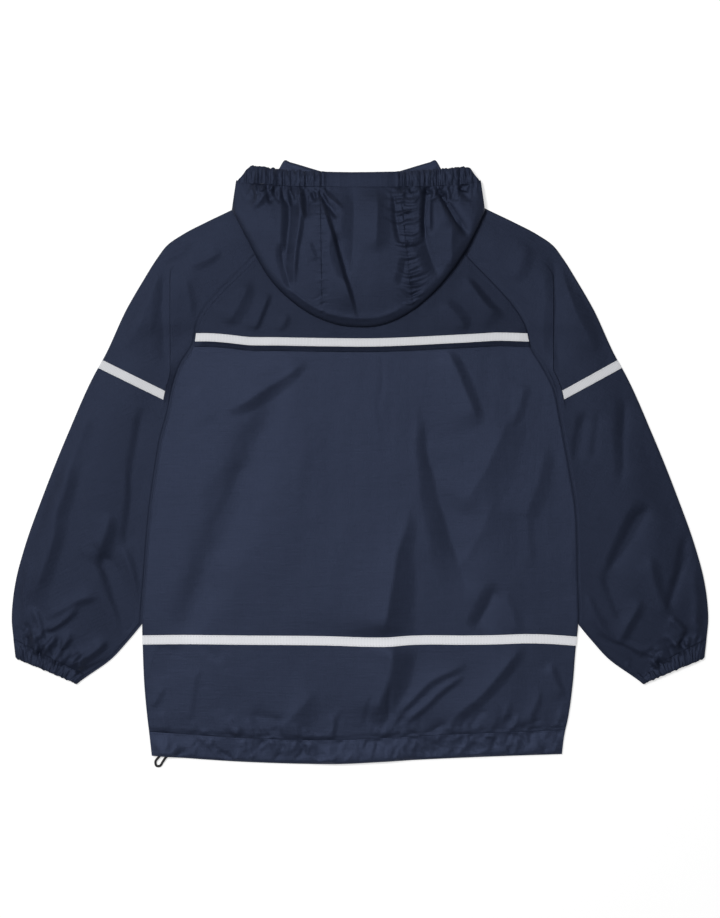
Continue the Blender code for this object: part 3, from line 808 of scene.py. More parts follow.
def tape_finish(name, turn, light=1.0):
    """Silver tape whose fine ribs run across it at the given angle; light scales its colour, and above 1 it
    paints light on the tape.
    """
    made = Finish(name)
    ribs = made.add("ShaderNodeTexWave", {"bands_direction": "X"}, {
        "Vector": made.turned(turn), "Scale": 2 * math.pi / 20 / (RIB * MM), "Distortion": 0.6}, 1)
    wear = made.clouds(made.place, 60.0, 3.0)
    made.surface(base_color=made.blend(0.6 * ribs + 0.5 * wear, lit(SILVER, light), lit(SILVER_RIB, light)),
                 roughness=0.56 + 0.12 * wear, normal=made.relief(ribs, 0.3, 0.0001), specular_ior_level=0.35)
    return made.material


def tape_over(surface_height, upper_edge, width):
    """Face of a tape across the back, on the cloth below it."""
    def face(across, share):
        x, down = body_point(across, lambda x: through(upper_edge, x),
                             lambda x: through(upper_edge, x) + width, share)
        return x, down, surface_height(x, down) + TAPE_LIFT

    return face


# Both tapes across the back are lighter than the sleeves' tapes, the low one most: painted light.
BODY_SILVER_PAINTED_LIGHT = tape_finish("silver_tape", 0.0, 1.06)
LOW_SILVER_PAINTED_LIGHT = tape_finish("silver_tape_low_painted_light", 0.0, 1.26)
TAPE_SEWN = thread_finish("tape_thread", TAPE_THREAD, SILVER)


def tape_sewing(name, face):
    """Stitches along both edges of a tape, on its own face."""
    across = np.linspace(0.004, 0.996, 260)
    rows = [np.column_stack(face(across, share + 0.0 * across)) for share in TAPE_EDGES]
    return stitching(name, [row + (0.0, 0.0, 0.06) for row in rows], TAPE_STITCH, TAPE_SEWN)


low_face = tape_over(body_cloth, LOW_TAPE, TAPE)
low_tape = panel("body_tape_silver", BODY_CELLS[0], TAPE_ROWS, low_face, "body_tape", LOW_SILVER_PAINTED_LIGHT, "tape",
                 TAPE_WALL)
low_sewing = tape_sewing("body_tape_stitches", low_face)


# Back yoke: a panel from the neck to the tape, whose lower edge hangs free as a flap over the vent.
# The tape's foot is topstitched, and the flap's edge lifts a little off the body.
FLAP_MARGIN = 5.0
YOKE_LENGTH = 135.0
YOKE_CELLS = (176, 84)
YOKE_FACETS = [
    # x, down, x, down, bow, width at both ends, slope, soft back
    (-89, 130, -107, 176, 1, 4, 4, 0.48, 10),
    (-110, 118, -136, 166, 2, 12, 14, 0.21, 12),
    (-72, 152, -84, 176, 1, 5, 5, 0.22, 8),
    (103, 116, 146, 160, -3, 5, 7, 0.42, 14),
    (78, 140, 110, 172, 2, 8, 10, 0.18, 14),
    (-30, 168, 30, 172, 2, -4, -4, 0.14, 6),
]
TAPE_FOOT = 1.5             # the cloth stands up this far at the tape's foot and falls to the flap's edge
YOKE_TUCKS = (-111.0, -49.0, 21.0, 96.0)


def flap_edge(x):
    return through(YOKE_TAPE, x) + YOKE_TAPE_WIDTH + FLAP_MARGIN


def yoke_cloth(x, down):
    own = facets(YOKE_FACETS, x, down, 61) * ease((175.0 - down) / 10)
    to_edge = flap_edge(x) - down
    foot = TAPE_FOOT * np.clip(to_edge / FLAP_MARGIN, 0.0, 1.0) * (1 - ease((to_edge - FLAP_MARGIN) / 16))
    lifted = foot + 0.15 + 0.12 * ripple(x, 0.0 * x, 30.0, 62) * np.exp(-to_edge / 4.0)
    tucks = sum(0.7 * np.exp(-((x - tuck) / 1.8) ** 2) for tuck in YOKE_TUCKS)
    tucks = tucks * np.exp(-((down - 184) / 9) ** 2)
    return body_cloth(x, down) + LIFT + (own + lifted) * ease(side_inward(x, down) / 10) - 0.5 * tucks


def yoke_top(x):
    return 56.0 - 5.0 * np.maximum(0.0, 1 - (x / 68.0) ** 2)


def back_yoke(across, share):
    share = fine_ends(share, YOKE_LENGTH, YOKE_CELLS[1], margin=16.0, fine=0.9)
    x, down = body_point(across, yoke_top, flap_edge, share)
    return x, down, yoke_cloth(x, down)


flap_run = np.linspace(-166.0, 170.0, 300)
yoke_sewing = stitching("back_yoke_stitches", raglan_lines(yoke_cloth, TOPSTITCH, 70, 184, 120) + [
    on(yoke_cloth, flap_run, flap_edge(flap_run) - 1.6)])
yoke_panel = panel("back_yoke_cloth", *YOKE_CELLS, back_yoke, "back_yoke", YOKE_CLOTH_PAINTED_SHADE)
yoke_face = tape_over(yoke_cloth, YOKE_TAPE, YOKE_TAPE_WIDTH)
yoke_tape = panel("yoke_tape_silver", BODY_CELLS[0], TAPE_ROWS, yoke_face, "yoke_tape", BODY_SILVER_PAINTED_LIGHT, "tape",
                  TAPE_WALL)
yoke_tape_sewing = tape_sewing("yoke_tape_stitches", yoke_face)


# Hem casing of the back: the lower edge, folded over the elastic cord and sewn down with one row of
# stitches. The elastic draws it into small pleats that run on above the seam.
HEM_CELLS = (300, 16)
HEM_LOFT = 2.0
# The casing's copy of the cloth is lighter all over: painted light.
HEM_CLOTH_PAINTED_LIGHT = cloth_finish("navy_nylon_hem_painted_light", light=1.15)


def hem_cloth(x, down):
    share = np.clip((hem_edge(x) - down) / HEM_CASING, 0.0, 1.0)
    inward = body_half(side_of(x), down) - abs(x)
    mouth = 1.3 * CORD * np.exp(-((x + 195.0) / 13.0) ** 2) * (1 - 0.7 * share)
    arch = HEM_LOFT * swell(share * HEM_CASING / 5) * ease(inward / 9)
    gathers = hem_gathers(x, down)
    sag = 0.35 * ripple(x, down, 16.0, 73)
    own = REST + front_rise(x) * 0.9 + arch
    seam_level = body_cloth(x, hem_edge(x) - HEM_CASING - 0.5) + 0.1
    pleated = (gathers + sag) * ease(share * 8) * ease(inward / 9) * ease((1 - share) * 8)
    return mix(own, seam_level, ease((share - 0.3) / 0.7)) + mouth + pleated


def back_hem(across, share):
    x = mix(-209.5, 203.0, across)
    down = hem_edge(x) - HEM_CASING * share
    x = mix(-body_half(-1, down), body_half(1, down), across)
    return x, down, hem_cloth(x, down)


hem_run = np.linspace(-207.0, 202.0, 400)
hem_sewing = stitching("back_hem_stitches", [on(hem_cloth, hem_run, hem_edge(hem_run) - HEM_CASING + 1.5)])
hem_panel = panel("back_hem_cloth", *HEM_CELLS, back_hem, "back_hem", HEM_CLOTH_PAINTED_LIGHT)


# Sleeves: each is a back half and a front half that meet along the sleeve's fold and its underarm seam.
# The back half runs under the body's edge, has one soft pleat beside it and is gathered into the cuff.
SLEEVE_LOFT = 3.0
SLEEVE_LAP = 4.0            # the sleeve reaches this far under the body's edge
SLEEVE_FLAT = 2.5           # and lies flat for this much more beside it
SLEEVE_CELLS = (84, 240)
PLEAT_CELL = 42             # cells outside the pleat
PLEAT_RISE = 1.7
PLEAT_OUT = {-1: 190.0, 1: 193.5}
SLEEVE_SECTIONS = [
    # outer edge's half width and down, inner edge's down, from the cuff seam to the neck
    (347.0, 479.0, 516.5),
    (348.7, 460.0, 501.0),
    (347.5, 440.0, 482.0),
    (344.0, 418.0, 464.0),
    (336.5, 390.0, 438.0),
    (317.0, 335.0, 375.0),
    (292.5, 274.0, 310.0),
    (262.2, 207.8, 245.3),
    (257.7, 200.0, 236.5),
    (232.0, 146.0, 190.0),
    (218.0, 122.0, 166.0),
    (203.0, 98.0, 146.0),
    (194.0, 86.0, 134.0),
    (177.0, 74.0, 116.0),
    (154.0, 62.0, 95.0),
    (129.0, 50.0, 74.0),
    (98.0, 34.0, 56.0),
]
TAPE_SECTIONS = (7, 8)
UNDER_SLEEVE = [(464.0, 218.0), (482.0, 233.0), (501.0, 251.0), (516.5, 273.0)]
SLEEVE_FACETS = [
    # x, down, x, down, bow, width at both ends, slope, soft back
    (-196, 88, -236, 196, 3, 4, 24, 0.14, 20),
    (-199, 104, -193, 214, 0, -7, -16, 0.16, 10),
    (-168, 84, -206, 100, 3, 6, 8, 0.20, 8),
    (-136, 92, -176, 104, 2, 6, 8, 0.18, 8),
    (-176, 112, -166, 172, 2, 5, 8, 0.14, 8),
    (-214, 240, -230, 344, -2, -8, -8, 0.20, 8),
    (-270, 246, -297, 334, 0, 10, 14, 0.13, 18),
    (-284, 290, -328, 458, -3, 13, 15, 0.30, 18),
    (-328, 444, -313, 496, 0, 5, 4, 0.50, 5),
    (-280, 445, -319, 473, 2, 4, 4, 0.60, 4),
    (-258, 434, -318, 461, -4, 8, 6, 0.26, 6),
    (-288, 468, -308, 512, 1, 5, 4, 0.50, 4),
    (-252, 476, -299, 508, 5, 7, 5, 0.55, 6),
    (-244, 491, -286, 509, 3, 6, 4, 0.45, 5),
    (-251, 350, -266, 406, 3, 9, 14, 0.26, 8),
    (-267, 380, -226, 486, 4, -13, -7, 0.44, 8),
    (-224, 300, -235, 394, 2, -9, -9, 0.26, 8),
    (-239, 382, -218, 454, 2, 7, 5, 0.28, 6),
    (-333, 390, -336, 476, 1, 4, 4, 0.28, 5),
    (-333, 466, -342, 500, 0, 4, 3, 0.40, 4),
    (193, 90, 198, 216, 0, -8, -14, 0.16, 14),
    (197, 92, 238, 196, -4, 5, 14, 0.18, 14),
    (170, 80, 150, 120, 3, 8, 12, 0.12, 12),
    (212, 118, 252, 186, -3, 6, 10, 0.16, 10),
    (228, 246, 210, 308, 1, -8, -6, 0.22, 6),
    (239, 246, 232, 304, 1, -5, -5, 0.16, 6),
    (264, 230, 262, 328, 1, -10, -10, 0.18, 6),
    (290, 340, 241, 420, 3, -17, -6, 0.36, 8),
    (241, 408, 269, 464, -3, -7, -6, 0.28, 8),
    (286, 388, 312, 466, -3, 9, 7, 0.28, 8),
    (329, 366, 305, 458, 3, -7, -6, 0.34, 5),
    (336, 398, 334, 476, 1, 5, 5, 0.28, 5),
    (307, 456, 330, 474, -1, 5, 4, 0.55, 4),
    (328, 464, 320, 492, 0, -4, -4, 0.50, 4),
    (282, 436, 255, 488, 2, 8, 7, 0.30, 7),
    (222, 426, 263, 490, -5, 6, 5, 0.26, 6),
    (228, 473, 300, 512, 3, -5, -4, 0.34, 5),
    (248, 476, 318, 499, -4, 4, 4, 0.34, 4),
    (340, 428, 341, 486, 0, 4, 3, 0.32, 4),
]
CUFF_LENGTH = 16.0
CUFF_END = ((345.0, 498.0), (283.5, 524.0))     # half width and down of the cuff's open end
CUFF_TUCK = 1.5             # the sleeve runs this far under the cuff
CUFF_WIDTH = 75.0
GATHER_RISE = 0.42
UNDER_SLEEVE_CELLS = (40, 110)
SLEEVE_TURN = 27.0          # degrees that the sleeves' grain is turned
SLEEVE_TAPE_TURN = 29.0
# The sleeves' copies of the cloth are darker all over: painted shade.
SLEEVE_PAINTED_SHADE = {-1: 0.77, 1: 0.76}
SLEEVE_TABLE = np.array(SLEEVE_SECTIONS)
SLEEVE_RUN = np.concatenate([[0.0], np.cumsum(np.hypot(*np.diff(SLEEVE_TABLE[:, :2], axis=0).T))])


def section_at(run):
    """Outer half width, outer down and inner down of the sleeve's section at a run up from the cuff."""
    return [through(list(zip(SLEEVE_RUN, column)), run) for column in SLEEVE_TABLE.T]


def joined(down):
    """1 along the raglan seam, fading to 0 at the underarm."""
    return 1 - ease((down - UNDERARM + 34) / 34)


def sleeve_inner(side, down, reach):
    """Half width of the sleeve's inner edge, which reaches under the body's side by the given length."""
    under_body = body_half(side, down) - reach * joined(down)
    return np.where(down < UNDERARM, under_body, through(UNDER_SLEEVE, down))


def sleeve_span(side, run):
    """Ends and width of a sleeve's back half at a run, and the shares of its flat edge and its pleat."""
    outer, outer_down, inner_down = section_at(run)
    inner = sleeve_inner(side, inner_down, SLEEVE_LAP)
    width = np.hypot(outer - inner, outer_down - inner_down)
    flat = (SLEEVE_LAP * joined(inner_down) + SLEEVE_FLAT) / width
    fold = np.clip((outer - PLEAT_OUT[side]) / (outer - inner), 0.24, 0.93 - flat)
    return (outer, outer_down), (inner, inner_down), width, flat, fold


def cuff_pleats(from_outer, run):
    """Height of the close uneven pleats at the cuff, between about -1 and 1; run counts up from its seam."""
    place = CUFF_WIDTH * from_outer + 0.5 * ripple(CUFF_WIDTH * from_outer, run, 9.0, 101)
    return np.clip(ripple(place, 0.18 * run, 1.7, 102), -1.2, 1.2)


def cuff_start(side):
    """Draws a place on the cuff's seam and its heading up the sleeve."""
    def start(share, draw):
        share = mix(0.05, 0.95, share)
        outer, inner = SLEEVE_SECTIONS[0][:2], (UNDER_SLEEVE[-1][1], UNDER_SLEEVE[-1][0])
        x, down = mix(outer[0], inner[0], share), mix(outer[1], inner[1], share)
        return side * x, down, side * mix(2.0, -44.0, share)

    return start


CUFF_FOLDS = {side: scattered(101 + side, 40, cuff_start(side), length=(12.0, 36.0), width=(1.8, 3.6),
                              slope=(0.24, 0.58), spread=20.0, before=0.22) for side, _ in SIDES}


def sleeve_across(side, place, run):
    """Point and height of the outer face of a sleeve's back half, at a share from its outer edge."""
    (outer, outer_down), (inner, inner_down), width, flat, fold = sleeve_span(side, run)
    x = side * mix(outer, inner, place)
    down = mix(outer_down, inner_down, place)
    inward = np.minimum(place, 1 - place - flat) * width
    under_yoke = 0.8 * LIFT * (1 - ease((down - 160) / 18)) * ease(place * width / 40)
    edge = REST + 0.35 * (1 - ease((down - 425) / 40)) + under_yoke
    reach = ease((down - 100) / 30) * (1 - ease((down - 222) / 30))
    pleat = PLEAT_RISE * reach * np.clip((1 - place - flat) / (1 - fold - flat), 0.0, 1.0) * (place > fold)
    folds = facets(SLEEVE_FACETS, x, down, 81 + side) + crumples(x, down, 91 + side)
    gathered = facets(CUFF_FOLDS[side], x, down, 98) + GATHER_RISE * cuff_pleats(place, run) * np.exp(
        -np.maximum(run, 0.0) / 6.0)
    raised = (folds + gathered) * ease(inward / EDGE_ROLL)
    loft = SLEEVE_LOFT * edge_roll(place * width, 42.0) * edge_roll((1 - place - flat) * width, 60.0)
    tucked = 0.45 * ease((0.6 - run) / 1.2) * ease(inward / 3)
    under = np.maximum(0.0, -run) / CUFF_LENGTH
    x = mix(x, side * mix(CUFF_END[0][0], CUFF_END[1][0], place), under)
    down = mix(down, mix(CUFF_END[0][1], CUFF_END[1][1], place), under)
    return x, down, np.maximum(edge + loft + pleat + raised - tucked, REST)


def pleated_share(side, from_outer, run):
    """Share across the sleeve with fine cells at its pleat."""
    _, _, width, _, fold = sleeve_span(side, run)
    cell = from_outer * SLEEVE_CELLS[0]
    step = 0.35 / width
    before = cell / PLEAT_CELL * (fold - step)
    after = fold + step + (cell - PLEAT_CELL - 1) / (SLEEVE_CELLS[0] - PLEAT_CELL - 1) * (1 - fold - step)
    return np.where(cell <= PLEAT_CELL, before, after)


def back_sleeve(side, from_outer, share):
    run = mix(-CUFF_TUCK, SLEEVE_RUN[-1], share ** 1.35)
    return sleeve_across(side, pleated_share(side, from_outer, run), run)


def sleeve_tape(side, from_outer, share):
    run = mix(SLEEVE_RUN[TAPE_SECTIONS[0]], SLEEVE_RUN[TAPE_SECTIONS[1]], share)
    place = pleated_share(side, from_outer * PLEAT_CELL / SLEEVE_CELLS[0], run)
    x, down, height = sleeve_across(side, place, run)
    return x, down, height + TAPE_LIFT


def front_sleeve(side, from_outer, share):
    outer, outer_down, inner_down = section_at(share * SLEEVE_RUN[-1])
    inner = sleeve_inner(side, inner_down, -0.5)
    x = side * mix(outer, inner, from_outer)
    down = mix(outer_down, inner_down, from_outer)
    lifted = np.maximum(0.35 * facets(SLEEVE_FACETS + CUFF_FOLDS[side], x, down, 85 + side), 0.0)
    edge = np.sin(np.pi * from_outer) * np.sin(np.pi * share)
    return x, down, FRONT_FACE + np.minimum(lifted, 1.2) * edge


SLEEVE_CLOTH_PAINTED_SHADE = {}
for side, word in SIDES:
    # Each sleeve's copy of the cloth carries the painted shade given above.
    SLEEVE_CLOTH_PAINTED_SHADE[side] = cloth_finish(f"navy_nylon_{word}_sleeve", side * SLEEVE_TURN, SLEEVE_PAINTED_SHADE[side])
    sleeve_panel = panel(f"{word}_sleeve_back_cloth", *SLEEVE_CELLS, sided(side, back_sleeve),
                         f"{word}_sleeve_back", SLEEVE_CLOTH_PAINTED_SHADE[side])
    under = panel(f"{word}_sleeve_front_cloth", *UNDER_SLEEVE_CELLS, sided(side, front_sleeve),
                  f"{word}_sleeve_front", SLEEVE_CLOTH_PAINTED_SHADE[side])
    silver = tape_finish(f"silver_tape_{word}_sleeve", -side * SLEEVE_TAPE_TURN)
    tape = panel(f"{word}_sleeve_tape_silver", PLEAT_CELL, TAPE_ROWS, sided(side, sleeve_tape),
                 f"{word}_sleeve_tape", silver, "tape", TAPE_WALL)
    sewing = tape_sewing(f"{word}_sleeve_tape_stitches", sided(side, sleeve_tape))


# Cuffs: the end of each sleeve half is turned in over a thin elastic and sewn. The elastic gathers it
# into close uneven pleats, which fan out into the sleeve above the seam.
CUFF_LOFT = 3.0
CUFF_CELLS = (208, 20)
UNDER_CUFF_CELLS = (120, 10)


def cuff_place(side, from_outer, share):
    """Across and down of a point of the cuff, and the height of its pleats."""
    outer, outer_down, inner_down = section_at(0.0)
    inner = sleeve_inner(side, inner_down, 0.0)
    (end_outer, end_outer_down), (end_inner, end_inner_down) = CUFF_END
    seam = share * (1 - GAP / CUFF_LENGTH)
    out = mix(mix(end_outer, end_inner, from_outer), mix(outer, inner, from_outer), seam)
    down = mix(mix(end_outer_down, end_inner_down, from_outer), mix(outer_down, inner_down, from_outer), seam)
    return side * out, down, cuff_pleats(from_outer, (share - 1) * CUFF_LENGTH)


def cuff_front(side, from_outer, share):
    x, down, wave = cuff_place(side, from_outer, share)
    lifted = 0.75 * (1 + 0.8 * wave) * ease(np.minimum(from_outer, 1 - from_outer) * 10)
    return x, down, FRONT_FACE + np.maximum(lifted, 0.0)


def cuff_back(side, from_outer, share):
    x, down, wave = cuff_place(side, from_outer, share)
    inward = np.minimum(from_outer, 1 - from_outer) * CUFF_WIDTH
    folds = facets(SLEEVE_FACETS, x, down, 81 + side) + facets(CUFF_FOLDS[side], x, down, 98)
    mouth = 0.5 * np.exp(-share * CUFF_LENGTH / 1.6) * ease(inward / 6)
    open_end = CUFF_LOFT * swell(inward / EDGE_ROLL)
    at_seam = SLEEVE_LOFT * edge_roll(from_outer * CUFF_WIDTH, 42.0) * edge_roll(
        (1 - from_outer) * CUFF_WIDTH - SLEEVE_FLAT, 60.0)
    pleats = GATHER_RISE * (1.5 - 0.5 * share) * wave
    raised = (folds + pleats) * ease(inward / mix(6.0, EDGE_ROLL, share))
    height = mix(open_end, at_seam, ease(share)) + 0.25 - mouth + raised
    return x, down - 0.6 * wave * (1 - share), REST + np.maximum(height, 0.1)


for side, word in SIDES:
    cuff_panel = panel(f"{word}_cuff_back_cloth", *CUFF_CELLS, sided(side, cuff_back), f"{word}_cuff_back",
                       SLEEVE_CLOTH_PAINTED_SHADE[side])
    under = panel(f"{word}_cuff_front_cloth", *UNDER_CUFF_CELLS, sided(side, cuff_front),
                  f"{word}_cuff_front", SLEEVE_CLOTH_PAINTED_SHADE[side])


# Collar: the stand at the top of the front edges, two layers of the same nylon sewn together and turned.
# On both sides its pointed corner shows above the hood, and the rest runs down below it to the neck seam.
COLLAR = [
    # half width, down of the upper edge, down of the neck seam
    (0.3, 20.0, 83.5),
    (34.5, 12.0, 71.0),
    (70.0, 1.6, 46.5),
    (76.0, 0.0, 42.0),
    (81.0, 8.0, 39.0),
    (90.0, 20.0, 35.0),
]
COLLAR_CELLS = (90, 44)


def collar(side, from_outer, share):
    half = mix(COLLAR[-1][0], COLLAR[0][0], from_outer)
    upper = through([(row[0], row[1]) for row in COLLAR], half)
    lower = through([(row[0], row[2]) for row in COLLAR], half)
    down = mix(lower, upper, share)
    at_end = swell((COLLAR[-1][0] - half) / 14)
    round_edge = swell((down - upper) / 12) * at_end * swell((lower - down) / 20)
    sewn = 0.4 * np.exp(-((down - upper - 5.0) / 1.2) ** 2)
    return side * half, down, WALL + (2.0 + 0.3 * ripple(half, down, 12.0, 111) - sewn) * round_edge


for side, word in SIDES:
    collar_panel = panel(f"{word}_collar_cloth", *COLLAR_CELLS, sided(side, collar), f"{word}_collar")


# Hood: three panels, a centre strip between two sides, lie as a flat pouch on the back. The seams are
# puckered, the cloth falls in folds from the rim, and the hidden halves go on below to the neck seam.
HOOD_LOFT = 8.0
HOOD_ROLL = 26.0
HOOD_INSET = 1.0            # the hidden half stops this far inside the pouch's fold
RIM_TUCK = 2.0              # the panels run this far under the rim
SEAM_TUCK = 1.0             # the centre panel runs this far under the sides
HOOD_ROWS = 104
HOOD_UNDER_CELLS = (40, 40)
HOOD_SIDES = (-127.5, 124.5)    # x of the pouch's ends at the rim
HOOD_TAKE_UP = 0.012        # metres of each panel's width that its puckers and folds take up
AWAY = 99.0                 # distance at which a seam has no effect
HOOD_FOLD = [
    # x and down of the fold at the bottom of the pouch
    (-128.0, 50.0),
    (-113.4, 78.7),
    (-93.0, 115.4),
    (-65.2, 144.0),
    (-38.0, 160.0),
    (-4.4, 167.0),
    (26.6, 163.7),
    (61.0, 144.0),
    (86.3, 117.7),
    (109.3, 83.3),
    (124.9, 51.0),
]
# x and down of the rim's open edge and of its stitch line
RIM_EDGE = [(-109.0, 5.6), (-81.0, 9.5), (-38.0, 12.0), (36.0, 11.8), (75.0, 9.5), (108.0, 6.6)]
RIM_SEAM = [(-123.8, 22.5), (-80.0, 26.0), (-38.0, 27.0), (40.0, 27.0), (80.0, 26.0), (120.7, 22.5)]
HOOD_SEAMS = {"left": (-38.0, -40.0), "right": (54.0, 40.0)}    # x at the pouch fold and at the rim
HOOD_NECK = [(-128.0, 42.0), (-90.0, 36.0), (-50.0, 48.0), (0.0, 51.0), (50.0, 48.0), (90.0, 36.0),
             (128.0, 42.0)]
SEAM_PUCKERS = [
    # seam, rise, reach, size
    ("left", 0.45, 6.0, 2.4),
    ("right", 1.7, 11.0, 3.2),
]
HOOD_FACETS = [
    # x, down, x, down, bow, width at both ends, slope, soft back
    (-45, 28, -3, 168, 1.5, 3.2, 3.4, 1.20, 26),
    (-69.5, 16, -73, 112, 0, -8, -6, 0.52, 6),
    (-79, 84, -68, 134, -1, -7, -5, 0.45, 5),
    (-61, 24, -67.5, 136, 2, 4, 3.5, 0.60, 6),
    (-91, 20, -108, 54, -1, 5, 4, 0.60, 4),
    (-81, 22, -104, 52, -2, 5, 4, 0.65, 4),
    (-99, 20, -114, 42, -1, 4, 4, 0.40, 4),
    (-57, 26, -56, 62, -3, 4, 3, 0.65, 4),
    (-50, 26, -55, 60, -1, -4, -3, 0.50, 4),
    (-43, 28, -20, 62, -1, -4, -4, 0.60, 4),
    (-38, 30, -16, 50, -2, 4, 3, 0.50, 4),
    (-22, 72, -11, 126, -4, -9, -7, 0.34, 5),
    (-52, 82, -41, 102, -1, 4, 3, 0.34, 5),
    (-8, 22, -8, 120, 2, -12, -12, 0.16, 8),
    (16, 26, 17, 98, 0, 12, 14, 0.24, 10),
    (34, 26, 42, 90, -2, -4, -4, 0.50, 4),
    (65.5, 22, 65.5, 84, 0, -5, -5, 1.10, 3),
    (70, 26, 70.5, 78, 0, -4, -4, 0.80, 3),
    (64, 70, 79, 120, -3, -15, -10, 0.34, 8),
    (72, 18, 115, 80, -2, -5, -4, 0.85, 4),
    (78, 26, 113, 82, -3, -4, -4, 0.75, 4),
    (98, 28, 112, 44, -1, -5, -4, 0.40, 5),
    (94, 60, 92, 116, -2, 12, 12, 0.26, 8),
    (46, 96, 38, 128, 1, -7, -6, 0.22, 6),
]


def hood_puckers(x, down):
    """Pleats that the hood's seams draw square across themselves, bowed and uneven."""
    total = 0.0 * x
    for word, rise, reach, size in SEAM_PUCKERS:
        fold_seam, rim_seam = HOOD_SEAMS[word]
        ends = [through(RIM_SEAM, rim_seam), through(HOOD_FOLD, fold_seam)]
        off = x - np.interp(down, ends, [rim_seam, fold_seam])
        run = down + 0.020 * off ** 2 + 1.6 * ripple(x, down, 9.0, 151) + 0.8 * np.tanh(off / 2)
        fade = np.exp(-(off / (reach * (1 + 0.35 * ripple(0.0 * x, down, 6.0, 153)))) ** 2)
        total += rise * np.clip(ripple(0.12 * x, run, size, 152), -1.1, 1.3) * fade
    return total


def rim_start(share, draw):
    """Place on the rim's stitch line beside its flat middle, and a heading down that turns in a little."""
    x = mix(34.0, 112.0, abs(2 * share - 1)) * (1 if share > 0.5 else -1)
    heading = mix(180.0, 165.0 if x < 0 else 195.0, abs(x) / 112.0)
    return x, float(through(RIM_SEAM, x)) - 1.0, heading


RIM_FOLDS = scattered(145, 44, rim_start, length=(8.0, 26.0), width=(1.8, 3.4), slope=(0.35, 0.75),
                      spread=12.0)


def hood_floor(down):
    """Height of the coat that the pouch lies on."""
    return mix(2.4, 8.9, ease((down - 12) / 66))


def hood_inward(x, down):
    """Distance from the pouch's outline."""
    slope = (through(HOOD_FOLD, x + 1) - through(HOOD_FOLD, x - 1)) / 2
    below = (through(HOOD_FOLD, x) - down) / np.sqrt(1 + slope ** 2)
    return np.maximum(0.0, np.minimum(below, np.minimum(x - HOOD_SIDES[0], HOOD_SIDES[1] - x)))


def rim_wave(x, down):
    """Gathers of the elastic rim: close uneven pleats on both sides and none in the middle."""
    sides = ease((abs(x) - 32) / 12)
    bent = x + 1.1 * ripple(x, 0.7 * down, 9.0, 121)
    pleats = 0.55 * ripple(bent, 0.12 * down, 2.0, 122) + 0.50 * ripple(bent, 0.2 * down, 1.2, 123)
    return np.clip(pleats, -1.2, 1.2) * (0.05 + 0.95 * sides)


def hood_cloth(x, down, near=AWAY):
    """Height of the outer face of the pouch; near is the distance from its nearest seam."""
    loft = HOOD_LOFT * (0.45 + 0.55 * ease((down - 10) / 50))
    inward = hood_inward(x, down)
    round_edge = 0.62 * swell(inward / 9) + 0.38 * ease(inward / 44)
    small = 0.42 * ripple(x, 0.6 * down, 8.0, 140)
    small = small * (1 - ease((down - 36) / 70)) * ease((abs(x - 5) - 12) / 20)
    folds = facets(HOOD_FACETS, x, down, 131) + crumples(x, down, 141) + small
    below_rim = np.maximum(0.0, down - through(RIM_SEAM, x))
    long = 9.0 + 6.0 * ripple(x, 0.0 * x, 4.0, 142)
    fan = 0.8 * rim_wave(x, down) * np.exp(-below_rim / np.maximum(long, 2.5))
    drawn = facets(RIM_FOLDS, x, down, 146) + hood_puckers(x, down)
    seam = drawn - 0.12 * np.exp(-(near / 1.5) ** 2)
    lip = 0.75 * np.exp(-((inward - 8.0) / 2.6) ** 2) * ease((down - 124) / 12)
    lip = lip * (1 + 0.5 * ripple(x, down, 14.0, 144))
    return hood_floor(down) + REST + (loft + folds) * round_edge + (fan + seam + lip) * ease(inward / 8)


def hood_outer(fold_span, rim_span, tuck):
    """Outer half of a hood panel, between x positions at the pouch fold and at the rim.

    A panel with tuck 1 runs under its neighbours along both seams."""
    def surface(across, share):
        share = ease(share) * 0.35 + share * 0.65
        fold_x = mix(*fold_span, across)
        rim_x = mix(*rim_span, across)
        x = mix(fold_x, rim_x, share)
        down = mix(through(HOOD_FOLD, fold_x), through(RIM_SEAM, rim_x) - RIM_TUCK, share)
        near = np.full(x.shape, AWAY)
        for fold_seam, rim_seam in HOOD_SEAMS.values():
            near = np.minimum(near, abs(x - mix(fold_seam, rim_seam, share)))
        tucked = 1.3 * ease((through(RIM_SEAM, x) - down) / 1.4) + 0.6 * ease((1.0 - near) / 1.0) * tuck
        return x, down, hood_cloth(x, down, near) - tucked

    return surface


def hood_under(fold_span):
    """Hidden half of a hood panel, from the pouch fold to the neck seam."""
    def surface(across, share):
        fold_x = mix(*fold_span, across)
        x = fold_x * (1 + HOOD_INSET / HOOD_FOLD[0][0])
        down = mix(through(HOOD_FOLD, fold_x) - HOOD_INSET, through(HOOD_NECK, x), share)
        inward = hood_inward(x, down) / HOOD_ROLL
        loft = 0.5 * HOOD_LOFT * (0.3 + 0.7 * ease((down - 20) / 50)) * ease(inward)
        return x, down, hood_floor(down) + WALL + GAP + loft

    return surface
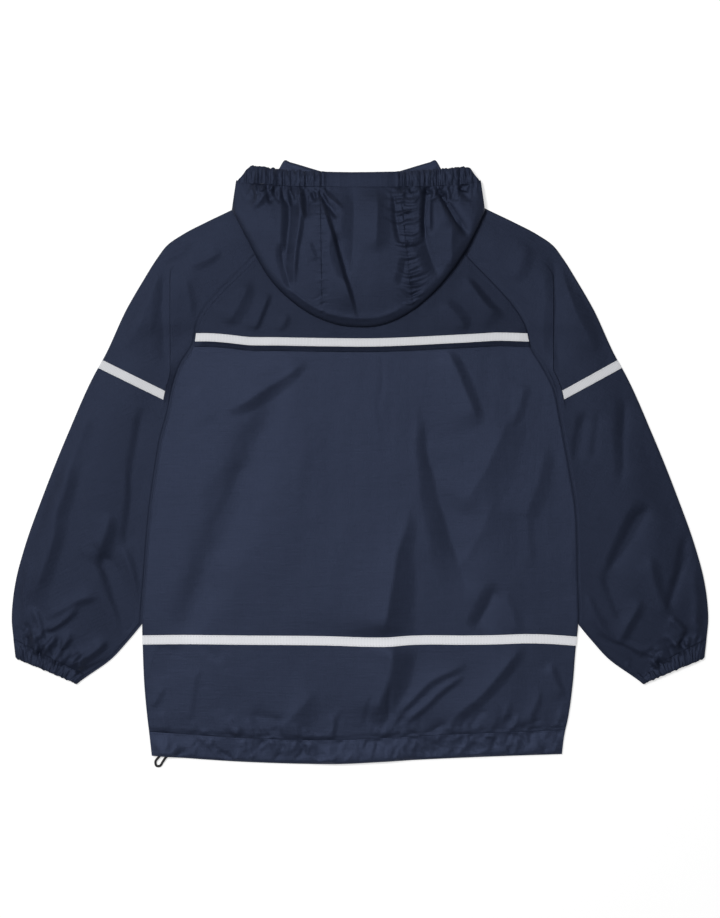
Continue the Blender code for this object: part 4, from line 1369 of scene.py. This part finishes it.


# The hood's copy of the cloth is darker all over: painted shade.
HOOD_CLOTH_PAINTED_SHADE = cloth_finish("navy_nylon_hood_painted_shade", light=0.78)
seam_left = HOOD_SEAMS["left"]
seam_right = HOOD_SEAMS["right"]
HOOD_PANELS = [
    # name, ends at the pouch fold, ends at the rim, tuck, columns, area
    ("left", (HOOD_FOLD[0][0], seam_left[0]), (RIM_SEAM[0][0], seam_left[1]), 0.0, 84, 0.0120),
    ("centre", (seam_left[0] - SEAM_TUCK, seam_right[0] + SEAM_TUCK),
     (seam_left[1] - SEAM_TUCK, seam_right[1] + SEAM_TUCK), 1.0, 86, 0.0140),
    ("right", (seam_right[0], HOOD_FOLD[-1][0]), (seam_right[1], RIM_SEAM[-1][0]), 0.0, 72, 0.0080),
]
for word, fold_span, rim_span, tuck, columns, cut_area in HOOD_PANELS:
    width = abs(fold_span[1] - fold_span[0]) * MM + HOOD_TAKE_UP
    outer_half = panel(f"hood_{word}_cloth", columns, HOOD_ROWS, hood_outer(fold_span, rim_span, tuck),
                       f"hood_{word}", HOOD_CLOTH_PAINTED_SHADE)
    under_half = panel(f"hood_{word}_under_cloth", *HOOD_UNDER_CELLS, hood_under(fold_span),
                       f"hood_{word}_under", HOOD_CLOTH_PAINTED_SHADE)
    cut_area * 0.75


# Hood rim: the hood's opening edge, turned down as a casing over thin elastic and stitched. It lies flat
# across the middle, where no elastic runs, and in close gathers on both sides.
RIM_CELLS = (420, 18)


def rim_cloth(x, down, share):
    """Height of the rim: a puffed casing, drawn in at its stitched foot and turned over at its edge."""
    end = ease((118 - abs(x)) / 4)
    arch = np.sin(np.pi * np.clip(share, 0.0, 1.0))
    pillow = (0.15 + 0.75 * ease((abs(x) - 30) / 14)) * arch
    foot = hood_cloth(x, np.maximum(down, through(RIM_SEAM, x)))
    crest = (0.55 * arch + 0.35 * share) * rim_wave(x, down)
    return foot + 0.15 - 1.5 * share ** 3 + (crest + pillow) * end


def hood_rim(across, share):
    edge_x = mix(RIM_EDGE[0][0], RIM_EDGE[-1][0], across)
    seam_x = mix(RIM_SEAM[0][0], RIM_SEAM[-1][0], across)
    x = mix(seam_x, edge_x, share)
    down = mix(through(RIM_SEAM, seam_x), through(RIM_EDGE, edge_x), share)
    frilled = down - 0.9 * rim_wave(x, 9.0) * share + 0.7 * rim_wave(x, 27.0) * (1 - share) ** 3
    return x, frilled, rim_cloth(x, down, share)


rim_panel = panel("hood_rim_cloth", *RIM_CELLS, hood_rim, "hood_rim", HOOD_CLOTH_PAINTED_SHADE)
